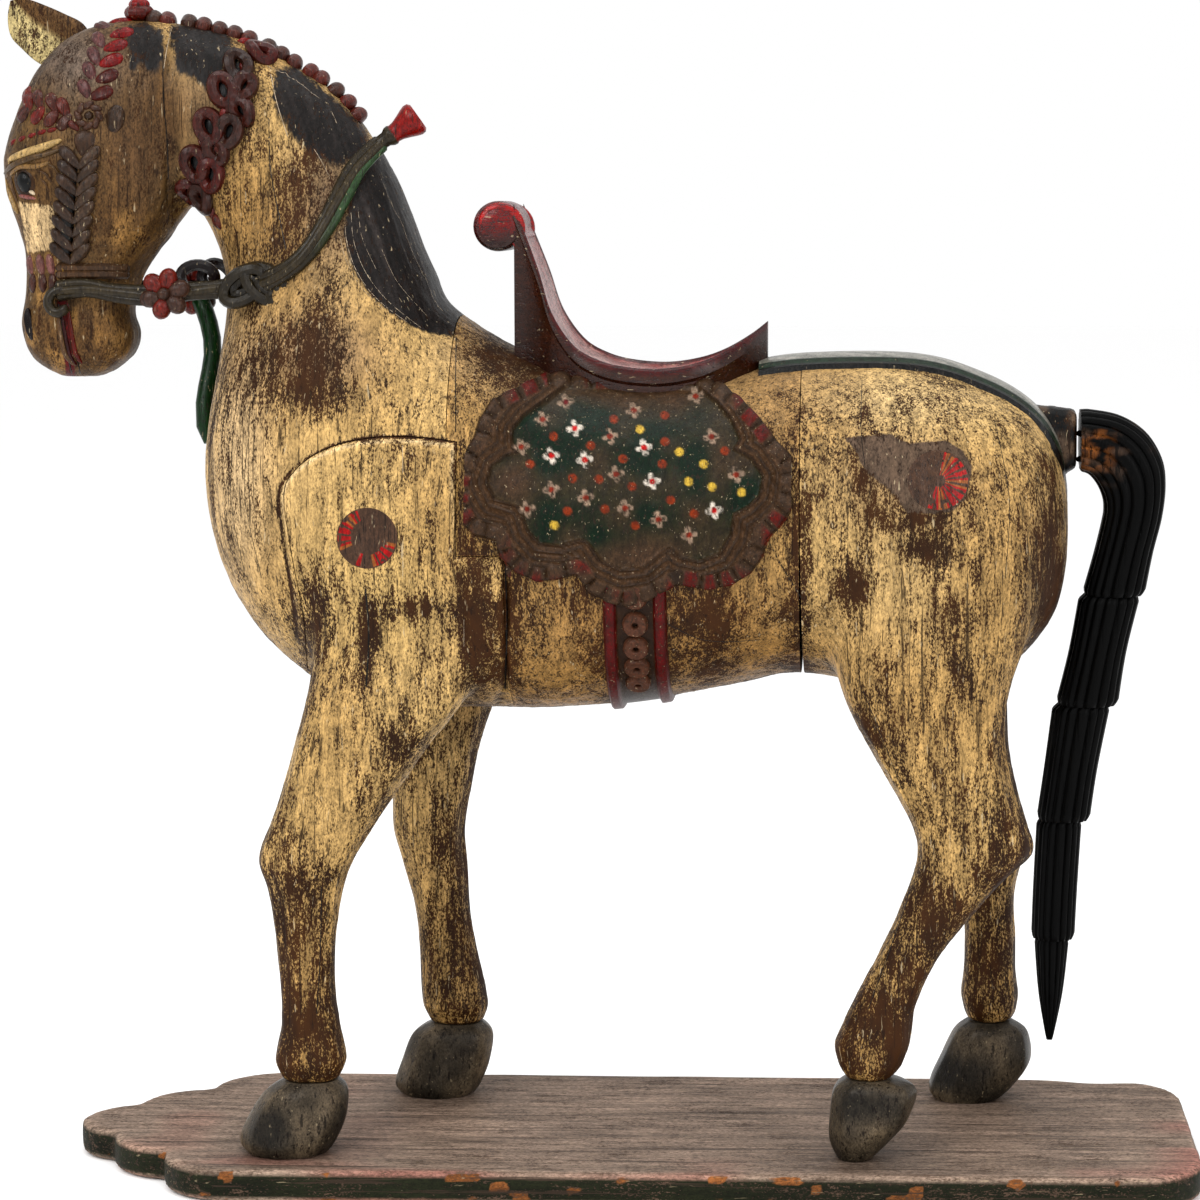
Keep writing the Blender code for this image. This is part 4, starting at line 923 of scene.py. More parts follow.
def browband(heap, surface):
    """Two rows of leaves over the eye, and the small ones below them."""
    for u, v in ((22, 99), (31, 97), (43, 101), (57, 105), (68, 110)):
        leaf(heap, surface, u, v, 60, 25, 18, 9, dark_red(u, 0.05, 0.5), 0.68, 0.4, 0.2)
    for u, v in ((19, 112), (28, 114), (42, 117), (56, 120), (69, 124)):
        leaf(heap, surface, u, v, -50, 23, 17, 8.5, dark_red(v, 0.05, 0.5), 0.68, 0.3, 0.2)
    for u, v in ((17, 143), (26, 140), (36, 137), (46, 134), (56, 132)):
        leaf(heap, surface, u, v, -15, 11, 6, 3.5, dark_red(u + v, 0.3, 0.8), 0.6, 0.2)


def rosettes(heap, surface):
    """The rosette at the temple and the three carved forms round it."""
    for k in range(8):
        angle = 360 * k / 8
        u = 93 + 10.5 * math.cos(math.radians(angle))
        v = 118 + 10.5 * math.sin(math.radians(angle))
        leaf(heap, surface, u, v, angle + 60, 14, 9, 8, srgb(84, 60, 50), 0.68, 0.2)
    leaf(heap, surface, 93, 118, 0, 10, 10, 5, srgb(60, 46, 38), 0.7, 0)
    leaf(heap, surface, 120, 121, 100, 30, 21, 6.5, srgb(70, 54, 44), 0.66, 0.1, 0.3)
    leaf(heap, surface, 90, 148, 92, 34, 34, 6, srgb(78, 58, 46), 0.66, 0.7, 0.3)
    leaf(heap, surface, 78, 128, 40, 16, 10, 7, srgb(92, 48, 42), 0.66, 0.3)


def cheek_braid(heap, surface):
    """The plaited cheek strap on its dark ground."""
    band = [surface.spot(84 - 10 * t, 152 + 112 * t) for t in np.linspace(0, 1, 9)]
    for side in (1, -1):
        for shift in (-0.010, 0.010):
            line = [(hit.x + shift, side * (abs(hit.y) - 0.0085), hit.z) for hit, normal in band]
            bar(heap, line, 0.0125, srgb(30, 23, 20), 0.85, 10)
    rows = 8
    for i in range(rows):
        t = i / (rows - 1)
        v = 160 + 94 * t
        u = 84 - 10 * t
        tone = 0.9 - 0.2 * (i % 2)
        leaf(heap, surface, u - 9, v, 46, 32, 17, 8, srgb(70, 54, 45) * tone, 0.72, 0.45, 0.12, -0.25)
        leaf(heap, surface, u + 9, v, 134, 32, 17, 8, srgb(82, 64, 52) * tone, 0.72, 0.45, 0.12, -0.25)


def noseband(heap, surface):
    """The noseband's leaves, its double strap and its gilt stud."""
    for i, u in enumerate((33, 43, 53)):
        leaf(heap, surface, u, 265, 84, 24, 11, 7, srgb(128, 84, 78), 0.72, 0.1, 0.1)
        leaf(heap, surface, u + 2, 283, 92, 22, 11, 7, srgb(78, 52, 46), 0.72, 0.1, 0.1)
    strap = [surface.spot(u, 268) for u in (58, 72, 90, 110, 132)]
    for side in (1, -1):
        for drop in (0, 0.008):
            line = [(hit.x, side * hit.y, hit.z - drop) for hit, normal in strap]
            bar(heap, smooth_line(line, 0.006), 0.0062, srgb(84, 62, 46), 0.66, 8)
    leaf(heap, surface, 67, 269, 20, 12, 9, 7.5, srgb(232, 184, 60), 1.0, 0.2)


def neck_chain(heap, surface, chain):
    """The braid of rings down the neck, in a heap of its own, and the buds beside it."""
    for i, (u, v, r, tilt) in enumerate((
            (264, 56, 11, 30), (243, 69, 12, 75), (228, 93, 13, 70), (249, 90, 10, 110), (247, 113, 11, 60),
            (214, 129, 13, 72), (234, 134, 12, 105), (222, 153, 10, 60), (200, 165, 13, 80), (216, 176, 12, 95),
            (194, 190, 10, 95), (208, 198, 11, 80))):
        hit, normal = surface.spot(u, v)
        leaf(chain, surface, u, v, tilt, r * 1.9, r * 1.3, 2.5, srgb(30, 23, 20), 0.9, 0.0, 0.0, 0.3, False)
        loop(chain, hit + normal * 0.005, normal, towards(tilt), r * 1.35 * MM, r * 0.95 * MM, 0.0078,
             dark_red(i + 1, 0.0, 0.36) * 0.85, 0.68)
    for u, v, angle, bright in ((268, 36, 20, 0.9), (250, 44, 150, 0.9), (249, 72, 70, 0.5), (224, 80, 130, 0.2),
                                (238, 100, 120, 0.5), (228, 116, 110, 0.6), (222, 152, 100, 0.3), (208, 146, 60, 0.2),
                                (208, 186, 90, 0.5), (206, 216, 80, 0.4), (212, 226, 70, 0.2)):
        leaf(heap, surface, u, v, angle, 18, 11, 8, dark_red(u, bright * 0.6, bright), 0.66, 0.3, 0.2, 0.1)


def head_ornaments(surface, chain):
    """All that is carved on the head and neck; the neck chain's rings go into a heap of their own."""
    heap = Heap()
    crest_beads(heap, surface)
    top_knot(heap)
    for form in (poll_braid, browband, rosettes, cheek_braid, noseband):
        form(heap, surface)
    neck_chain(heap, surface, chain)
    return heap


def eye_and_brow(surface):
    """The eyes with their lids, brows and wrinkles, the nostrils and the lips."""
    heap = Heap()
    leaf(heap, surface, 29, 185, 82, 36, 29, 4, srgb(58, 42, 31), 0.9, 0.1, 0, 0.1)
    leaf(heap, surface, 29, 184, 82, 25, 20, 7.5, srgb(24, 22, 22), 1.0, 0.1, 0, 0.1)
    leaf(heap, surface, 30, 198, 8, 24, 6, 5, srgb(150, 92, 84), 0.9, 0.3)
    leaf(heap, surface, 36, 194, 30, 8, 5, 7, srgb(210, 190, 160), 0.9, 0.3)
    ridges = (
        (((6, 166), (14, 161), (28, 156), (46, 150), (66, 142)), 5.6, srgb(206, 170, 110)),
        (((8, 174), (18, 166), (34, 160), (52, 156), (68, 150)), 4.2, srgb(96, 74, 50)),
        (((14, 176), (24, 168), (40, 168), (54, 164)), 3.4, srgb(150, 114, 70)),
        (((9, 178), (12, 190), (17, 204), (21, 214)), 3.6, srgb(176, 142, 92)),
        (((15, 178), (17, 190), (21, 202)), 2.6, srgb(84, 62, 44)),
        (((43, 172), (50, 176), (56, 184)), 1.7, srgb(84, 60, 40)),
        (((44, 180), (50, 186), (53, 194)), 1.5, srgb(84, 60, 40)),
        (((52, 166), (59, 170), (64, 178)), 1.5, srgb(90, 66, 42)),
        (((57, 300), (61, 322), (66, 352), (71, 377)), 3.4, srgb(104, 76, 52)),
        (((69, 300), (72, 322), (77, 352), (80, 376)), 3.0, srgb(96, 36, 30)),
        (((62, 304), (66, 328), (71, 354), (75, 378)), 2.4, srgb(60, 16, 16)),
    )
    for route, radius, tint in ridges:
        line = [surface.spot(u, v) for u, v in route]
        points = smooth_line([hit + normal * radius * 0.2 * MM for hit, normal in line], 0.004)
        swell = radius * MM * np.sin(np.pi * (np.arange(len(points)) + 0.6) / (len(points) + 0.4)) ** 0.5
        for side in (1, -1):
            bar(heap, [(p.x, side * p.y, p.z) for p in points], swell, tint, 0.72)
    leaf(heap, surface, 30, 324, 84, 34, 12, 6, srgb(36, 30, 26), 0.9, 0.2, 0.5)
    return heap


REIN_ROUTE = (
    (-706, 50, 1044), (-668, 64, 1048), (-630, 74, 1043), (-592, 80, 1040), (-562, 84, 1042), (-520, 84, 1046),
    (-482, 84, 1049), (-442, 92, 1052), (-405, 98, 1066), (-380, 98, 1088), (-364, 94, 1120), (-347, 86, 1160),
    (-330, 76, 1196), (-300, 62, 1228),
)
STRAP_ROUTE = ((-560, 84, 1040), (-544, 78, 1000), (-538, 70, 960), (-546, 56, 900), (-541, 44, 850))


def lifted(surface, place, radius):
    """A place, or where it is nearer to the surface than radius, the place that far above it."""
    hit, normal, _, _ = surface.tree.find_nearest(place)
    return hit + normal * radius if (place - hit).dot(normal) < radius else place


def reins(surface, side):
    """One rein: three strands side by side, its flower, its knot, and the red knob or the hanging strap."""
    heap = Heap()
    route = REIN_ROUTE if side < 0 else REIN_ROUTE[:12]
    middle = smooth_line([lifted(surface, point(x, side * y, z), 0.006) for x, y, z in route], 0.006)
    count = len(middle)
    rope = srgb(58, 51, 40)
    outward = Vector((0, side, 0))
    for strand, tone in ((-1, 0.85), (0, 1.2), (1, 0.8)):
        line = []
        for i, p in enumerate(middle):
            run = (middle[min(i + 1, count - 1)] - middle[max(i - 1, 0)]).normalized()
            across = run.cross(outward).normalized()
            wave = 1.1 * math.sin(i * 0.3 + strand * 2.1)
            line.append(p + across * ((strand * 6.2 + wave) * MM) + outward * (0.0026 if strand == 0 else 0))
        tint = np.tile(rope * tone, (count * 12, 1))
        if strand == -side:
            high = np.repeat(ramp(np.array([p.z for p in line]), 1.12, 1.2), 12)
            tint = mixed(tint, srgb(62, 104, 64), 0.5 * high)
        bar(heap, line, 0.0062, tint, 0.74, sides=12)
    start = middle[0]
    curl = [start + Vector((0.030, 0, 0.003))]
    for k in range(12):
        a = math.radians(60 + 26 * k)
        r = 0.0170 - 0.0007 * k
        curl.append(start + Vector((0.006 + r * math.cos(a), side * (0.003 + 0.0008 * k), -0.014 + r * math.sin(a))))
    bar(heap, smooth_line(curl, 0.003), 0.0066, rope * 0.85, 0.74, 12)
    centre = point(-564, side * 94, 1042)
    for k in range(6):
        a = 2 * math.pi * k / 6 + 0.3
        direction = Vector((math.cos(a), 0, math.sin(a)))
        tint = srgb(116, 44, 38) if k in (1, 2, 4) else srgb(78, 56, 48)
        petal(heap, centre + direction * 0.0175, direction, outward, 0.029, 0.024, 0.0120, tint)
    petal(heap, centre + outward * 0.005, Vector((1, 0, 0)), outward, 0.017, 0.017, 0.010, srgb(70, 50, 42))
    knot = point(-440, side * 98, 1052)
    for offset, tilt, long_radius, short_radius in ((-26, 34, 28, 16), (4, -34, 31, 17), (30, 38, 28, 16)):
        run = Vector((math.cos(math.radians(tilt)), 0, math.sin(math.radians(tilt))))
        at = knot + Vector((offset * MM, side * 0.004, 0))
        loop(heap, at, outward, run, long_radius * MM, short_radius * MM, 0.0078, rope * 0.95, 0.74)
        loop(heap, at, outward, run, long_radius * 0.5 * MM, short_radius * 0.4 * MM, 0.0056, rope * 0.6, 0.74)
    if side < 0:
        low, high = middle[-1], point(-252, -56, 1262)
        axis = (high - low).normalized()
        shape = ((-6, 9), (4, 9.5), (9, 12.5), (13, 13), (16, 11.5), (22, 12.5), (30, 15.5), (38, 19), (44, 21),
                 (49, 20.5), (52, 17), (52, 11), (50, 4))
        first = axis.orthogonal().normalized()
        second = axis.cross(first)
        rings = [[tuple(low + axis * (distance * MM) + (first * math.cos(a) + second * math.sin(a)) * radius * MM)
                  for a in np.linspace(0, 2 * np.pi, 24, endpoint=False)] for distance, radius in shape]
        tint = np.array([srgb(56, 50, 40) if d < 14 else srgb(140, 34, 30) for d, _ in shape for _ in range(24)])
        heap.add(rings, ring_faces(len(rings), 24), tint, 0.74)
    else:
        line = smooth_line([lifted(surface, point(x, y, z), 0.005) for x, y, z in STRAP_ROUTE], 0.006)
        bar(heap, line, 0.0115, srgb(36, 62, 38), 0.7, 14)
    loop(heap, point(-530, side * 62, 1060), Vector((0.3, side, 0.2)).normalized(), Vector((1, 0, 0)), 0.021, 0.017,
         0.0072, srgb(38, 26, 24), 0.85)
    return heap


def petal(heap, centre, run, normal, length, breadth, height, tint, keep=0.68):
    """An oval bead at a place in space, with its sizes in metres."""
    across = normal.cross(run).normalized()
    a, girth, turn = egg()
    b, c = np.outer(girth, np.cos(turn)), np.outer(girth, np.sin(turn))
    co = (np.array(centre) + a[:, None, None] * np.array(run) * length / 2
          + b[..., None] * np.array(across) * breadth / 2 + c[..., None] * np.array(normal) * height)
    heap.add(co, ring_faces(len(a), len(turn)), tint, keep)


# Open cracks, and pale lines of painted highlight beside them, along edges and on the mane: route as u, v, half width
# in millimetres, whether dark
HAIRLINES = (
    (((177, 28), (172, 50), (168, 75)), 0.9, False), (((168, 56), (168, 100), (171, 140), (172, 180)), 0.9, True),
    (((275, 75), (281, 105), (292, 140)), 0.9, False), (((273, 120), (274, 170), (282, 215), (289, 252)), 0.8, True),
    (((317, 150), (326, 165), (334, 182)), 0.7, False), (((335, 112), (341, 126)), 0.7, False),
    (((159, 24), (190, 26), (230, 34), (262, 44), (300, 62), (330, 84), (350, 108), (366, 128)), 0.4, False),
    (((765, 540), (780, 568), (800, 600)), 1.0, True), (((458, 336), (457, 390), (457, 436)), 0.8, True),
    (((404, 447), (404, 478)), 0.7, False), (((505, 566), (507, 620), (505, 690)), 1.5, True),
    (((366, 590), (369, 640), (366, 690)), 1.2, True), (((464, 620), (464, 650)), 0.5, False),
    (((860, 690), (880, 740), (900, 790)), 0.7, True), (((320, 890), (318, 960), (314, 1020)), 0.7, True),
    (((250, 440), (246, 500), (262, 580)), 0.6, True), (((236, 420), (232, 500), (244, 570)), 0.6, True),
    (((905, 900), (884, 960), (866, 1010)), 0.7, True), (((60, 303), (66, 340), (74, 378)), 1.2, True),
    (((70, 303), (75, 340), (82, 376)), 1.0, True), (((860, 380), (858, 430), (862, 470)), 0.6, True),
    (((348, 222), (350, 246), (360, 275), (380, 302), (410, 325)), 0.5, False),
    (((354, 214), (357, 245), (369, 276), (391, 304), (424, 330)), 0.5, False),
    (((343, 240), (349, 263), (363, 289), (386, 312)), 0.4, False),
    (((361, 208), (365, 240), (379, 272)), 0.35, False),
    (((400, 170), (418, 215), (436, 256), (456, 298)), 0.35, False),
    (((384, 250), (400, 284), (430, 318)), 0.35, False),
    (((990, 420), (1004, 500), (1000, 580)), 0.6, True), (((640, 610), (700, 640), (760, 640)), 0.6, True),
)


def hairlines(surface):
    """Thin dark cracks, and pale lines of painted highlight, that follow the surface, on both sides."""
    heap = Heap()
    for route, half_width, dark in HAIRLINES:
        fine = catmull(route, 3)
        # The pale lines are painted highlights.
        tint = srgb(26, 20, 16) if dark else srgb(190, 170, 144)
        for side in (-1, 1) if route[-1][1] < 720 else (-1,):
            places = [surface.spot(u, v, side) for u, v in fine]
            points = [hit - normal * half_width * 0.5 * MM for hit, normal in places]
            bar(heap, points, half_width * (1 if dark else 0.7) * MM, tint, 1.0, 6)
    return heap


EAR = (
    (-700, 34, 1334, 60, 30), (-722, 44, 1353, 76, 28), (-745, 52, 1368, 70, 22), (-764, 57, 1381, 60, 17),
    (-778, 61, 1397, 36, 12), (-786, 63, 1409, 8, 6),
)


def ear():
    """The one ear that is left: a leaf with a hollow, gilt face and a brown rim."""
    heap = Heap()
    lean = Vector((0.78, 0, 0.62)).normalized()
    facing = Vector((-0.5, -0.75, 0.45)).normalized()
    angle = np.linspace(0, 2 * np.pi, 48, endpoint=False)
    out, fore = np.cos(angle), np.sin(angle)
    dish = np.where(fore > 0, 0.55 - 1.1 * (1 - np.abs(out)) ** 0.8, 1.0)
    rings = [np.array(point(x, y, z)) + np.outer(out * breadth * MM / 2, lean)
             + np.outer(fore * dish * thickness * MM / 2, facing) for x, y, z, breadth, thickness in catmull(EAR, 4)]
    tint = mixed(srgb(206, 184, 126), srgb(112, 82, 52), ramp(out + 0.25 * fore, 0.15, 0.5))
    heap.add(rings, ring_faces(len(rings), 48), np.tile(tint, (len(rings), 1)), 0.58)
    return heap


# The saddle cloth's edge and its field, in u and v, and its flowers as u, v and kind
CLOTH_OUTER = (
    (544, 377), (520, 389), (491, 403), (479, 423), (474, 440), (462, 459), (455, 486), (455, 507), (464, 529),
    (476, 539), (496, 544), (498, 558), (515, 575), (537, 585), (556, 583), (576, 578), (585, 592), (605, 604),
    (624, 609), (646, 604), (668, 592), (677, 587), (706, 592), (731, 587), (750, 575), (762, 558), (767, 541),
    (779, 529), (791, 512), (796, 486), (794, 461), (777, 444), (762, 423), (743, 403), (726, 389), (700, 377),
)
CLOTH_FIELD = (
    (566, 392), (545, 408), (524, 422), (513, 436), (514, 452), (520, 458), (508, 460), (493, 470), (489, 486),
    (497, 502), (519, 509), (524, 517), (529, 532), (541, 545), (561, 547), (582, 541), (589, 545), (601, 562),
    (622, 571), (643, 568), (659, 556), (668, 549), (679, 558), (698, 562), (718, 554), (729, 536), (732, 516),
    (747, 508), (758, 497), (761, 480), (750, 463), (733, 454), (739, 444), (731, 426), (718, 410), (699, 394),
)
CLOTH_FLOWERS = (
    (566, 407, 0), (575, 433, 2), (543, 424, 1), (554, 441, 3), (522, 451, 1), (552, 460, 2), (585, 464, 2),
    (610, 441, 1), (644, 452, 2), (652, 485, 2), (616, 478, 1), (552, 493, 1), (586, 501, 1), (625, 511, 1),
    (528, 512, 1), (665, 420, 3), (640, 434, 4), (665, 446, 3), (679, 456, 4), (703, 468, 4), (662, 468, 3),
    (688, 485, 4), (711, 490, 4), (735, 478, 1), (724, 455, 3), (711, 441, 1), (670, 503, 3), (693, 516, 3),
    (713, 513, 2), (658, 522, 1), (635, 528, 3), (555, 528, 4), (605, 512, 3), (568, 514, 3), (632, 490, 3),
    (599, 483, 3), (573, 482, 3), (623, 463, 3), (591, 450, 3), (688, 537, 1), (531, 468, 3), (696, 401, 1),
    (634, 415, 1), (614, 424, 3), (740, 495, 4),
)


# The colours of a flower's heart and petals, by kind
FLOWER_KINDS = (
    (DEEPRED, srgb(150, 126, 106)), (srgb(120, 44, 32), srgb(150, 126, 106)), (RED, srgb(212, 200, 184)),
    (srgb(128, 52, 32), None), (srgb(196, 160, 62), None),
)


def saddle_cloth(side):
    """The carved saddle cloth on one side: a ring of lobed beads, ridges round a lobed field with flowers."""
    xs = np.arange(-186, 202, 1.9)
    ts = np.arange(0.10, 2.62, 0.0080)
    top_z, low_z, half = trunk_at(xs)
    x, t = np.meshgrid(xs, ts, indexing="ij")
    mid, rise = (top_z + low_z)[:, None] / 2, (top_z - low_z)[:, None] / 2
    c, s = np.cos(t), np.sin(t)
    z = mid + rise * np.sign(c) * np.abs(c) ** (2 / BODY_ROUNDNESS)
    y = half[:, None] * np.abs(s) ** (2 / BODY_ROUNDNESS)
    base = np.stack((x * MM, side * y * MM, DECK + z * MM), -1)
    du, dt = np.gradient(base, axis=0), np.gradient(base, axis=1)
    normal = np.cross(du, dt) * (-side)
    normal /= np.maximum(np.linalg.norm(normal, axis=-1, keepdims=True), 1e-12)
    flip = np.sign((normal * np.array((0, side, 0.001))).sum(-1, keepdims=True))
    normal = normal * np.where(flip == 0, 1, flip)
    flat = base.reshape(-1, 3)
    u, v = seen(flat)
    outer = signed(u, v, CLOTH_OUTER)
    field = signed(u, v, CLOTH_FIELD)
    # Beads round the rim: the distance along it gives each bead's place
    place = rim_place(u, v, CLOTH_OUTER)
    bead = np.abs(np.cos(np.pi * place / 21))
    rim = ramp(outer, -1, 3)
    band = np.clip(outer, 0, None)
    relief = np.full(len(u), -4.0)
    beads = 5.0 + 8.5 * np.sqrt(np.clip(1 - ((band - 9) / 10) ** 2, 0, 1)) * (0.15 + 0.85 * np.sqrt(bead))
    ridge = 11.5 + 2.2 * np.cos(2 * np.pi * np.clip(-field, 0, 40) / 7.5)
    in_ridges = ramp(outer, 15, 18)
    body = beads * (1 - in_ridges) + ridge * in_ridges
    in_field = ramp(field, -1.5, 1.5)
    body = body * (1 - in_field) + (5.5 + 0.4 * value_noise(flat, 60, 21)) * in_field
    relief = relief * (1 - rim) + body * rim
    relief += 0.8 * (value_noise(flat, 120, 22) - 0.5)
    co = flat + normal.reshape(-1, 3) * (relief * MM)[:, None]
    # Paint
    tint = np.broadcast_to(srgb(88, 66, 50), (len(u), 3)).copy()
    keep = np.full(len(u), 0.60)
    wear = value_noise(flat, 26, 23)
    # Painted shade in the creases between the rim's beads.
    tint *= (1 - 0.6 * (1 - in_ridges) * (1 - ramp(bead, 0.1, 0.5)))[:, None]
    reds = ramp(bead, 0.45, 0.7) * (1 - in_ridges) * ramp(wear, 0.40, 0.66)
    tint = mixed(tint, srgb(112, 36, 30), reds)
    dark = 1.3 - 0.9 * value_noise(flat, 34, 24) - 0.9 * blob(u, v, 507, 485, 22, 20)
    dark = in_field * np.clip(dark - 0.8 * blob(u, v, 640, 560, 60, 16) - 0.7 * blob(u, v, 640, 396, 90, 14), 0, 1)
    tint = mixed(tint, srgb(26, 42, 34), dark)
    keep = keep * (1 - dark) + 0.85 * dark
    broken = ramp(value_noise(flat, 320, 25), 0.18, 0.5)
    for fu, fv, kind in CLOTH_FLOWERS:
        r, a = np.hypot(u - fu, v - fv), np.arctan2(v - fv, u - fu)
        heart_colour, petal_colour = FLOWER_KINDS[kind]
        if petal_colour is not None:
            lobe = np.abs(np.cos(2 * a + 0.4))
            petals = broken * (1 - ramp(r, 3.2 + 4.6 * lobe, 4.2 + 5.0 * lobe))
            tint = mixed(tint, petal_colour, petals)
            keep = np.maximum(keep, 0.7 * petals)
            heart = 1 - ramp(r, 2.4, 3.6)
        else:
            heart = 1 - ramp(r, 3.6, 5.0)
        tint = mixed(tint, heart_colour, heart)
        keep = np.maximum(keep, 0.9 * heart)
    rows, columns = x.shape
    wanted = (outer > -7).reshape(rows, columns)
    cells = wanted[:-1, :-1] | wanted[1:, :-1] | wanted[:-1, 1:] | wanted[1:, 1:]
    i, j = np.nonzero(cells)
    corner = i * columns + j
    quads = np.stack((corner, corner + columns, corner + columns + 1, corner + 1), 1)
    if side > 0:
        quads = quads[:, ::-1]
    used = np.unique(quads)
    renumber = np.full(len(u), -1)
    renumber[used] = np.arange(len(used))
    heap = Heap()
    heap.add(co[used], renumber[quads].tolist(), tint[used], keep[used])
    return heap


def body_section(x, angle, grow):
    """A point of the barrel's surface at x, at an angle from the top of its section, grown outwards."""
    top_z, low_z, half = trunk_at(x)
    c, s = math.cos(angle), math.sin(angle)
    rise = (top_z - low_z) / 2 + grow
    z = (top_z + low_z) / 2 + rise * math.copysign(abs(c) ** (2 / BODY_ROUNDNESS), c)
    y = (half + grow) * math.copysign(abs(s) ** (2 / BODY_ROUNDNESS), s)
    return (x * MM, y * MM, DECK + z * MM)


def girth():
    """The girth strap: two raised red borders and a row of discs with a hole, on both sides and below."""
    heap = Heap()
    angles = np.linspace(1.62, 2 * np.pi - 1.62, 150)
    xs = np.arange(-24, 55, 1.6)
    profile = 2.0 + 6.0 * (1 - ramp(np.abs(np.abs(xs - 15.5) - 30), 5, 9)) - 7.0 * ramp(np.abs(xs - 15.5), 37.5, 39)
    tint_row = np.where((np.abs(np.abs(xs - 15.5) - 30) < 8)[:, None], DEEPRED * 1.25, UMBER * 0.9)
    rows = []
    for x, lift in zip(xs, profile):
        rows.append([body_section(x, a, lift) for a in angles])
    co = np.array(rows)
    heap.add(co, sheet_faces(*co.shape[:2]), np.repeat(tint_row, len(angles), 0), 0.6)
    for angle in (1.78, 1.95, 2.12, 2.29, 2.46):
        for sign in (1, -1):
            a = angle if sign > 0 else 2 * math.pi - angle
            centre = Vector(body_section(15.5, a, 2))
            out = (Vector(body_section(15.5, a, 12)) - centre).normalized()
            down = (Vector(body_section(15.5, a + 0.03, 2)) - centre).normalized()
            disc(heap, centre, out, down, 0.0155, 0.0075)
    return heap


def disc(heap, centre, out, run, radius, height):
    """A round boss with a hole in its middle."""
    across = out.cross(run).normalized()
    rings = []
    for r, h in ((1.0, -0.3), (1.0, 0.6), (0.86, 1.0), (0.34, 1.0), (0.24, 0.8), (0.2, -0.1)):
        rings.append([tuple(centre + (run * math.cos(a) + across * math.sin(a)) * radius * r + out * height * h)
                      for a in np.linspace(0, 2 * np.pi, 28, endpoint=False)])
    heap.add(rings, ring_faces(len(rings), 28), srgb(88, 58, 46), 0.62)


def croup_strap():
    """The raised strap along the croup, green, with a pale top of worn paint and painted highlight, and a black lower
    edge.
    """
    heap = Heap()
    stations = [s for s in catmull(BODY, 10) if s[0] > 150]
    stations = sorted(stations, key=lambda s: s[0])
    shares = np.linspace(-1, 1, 49)
    rings, tints = [], []
    for top_x, top_z, low_x, low_z, half in stations:
        top, low = np.array((top_x, 0, top_z)), np.array((low_x, 0, low_z))
        away = (top - low) / np.linalg.norm(top - low)
        rise = np.linalg.norm(top - low) / 2
        ring = []
        width = min(76, 0.62 * half)
        for across in shares:
            o = across * width
            share = min(0.999, abs(o) / half)
            drop = rise * (1 - (1 - share ** BODY_ROUNDNESS) ** (1 / BODY_ROUNDNESS))
            edge = abs(across)
            lift = 9.0 if edge < 0.76 else (6.0 if edge < 0.92 else -3)
            p = top + away * (lift - drop) + np.array((0, o, 0))
            ring.append((p[0] * MM, p[1] * MM, DECK + p[2] * MM))
            worn = 0.5 + 0.5 * math.sin(0.11 * top_x + 0.17 * o) * math.sin(0.031 * top_x + 2)
            # The top's pale grey is part worn paint, part painted highlight.
            pale = mixed(srgb(122, 124, 108), srgb(206, 198, 184), worn)
            tints.append(pale if edge < 0.70 else (srgb(48, 64, 50) if edge < 0.86 else BLACK))
        rings.append(ring)
    heap.add(rings, sheet_faces(len(rings), len(shares)), np.array(tints), 0.62)
    return heap


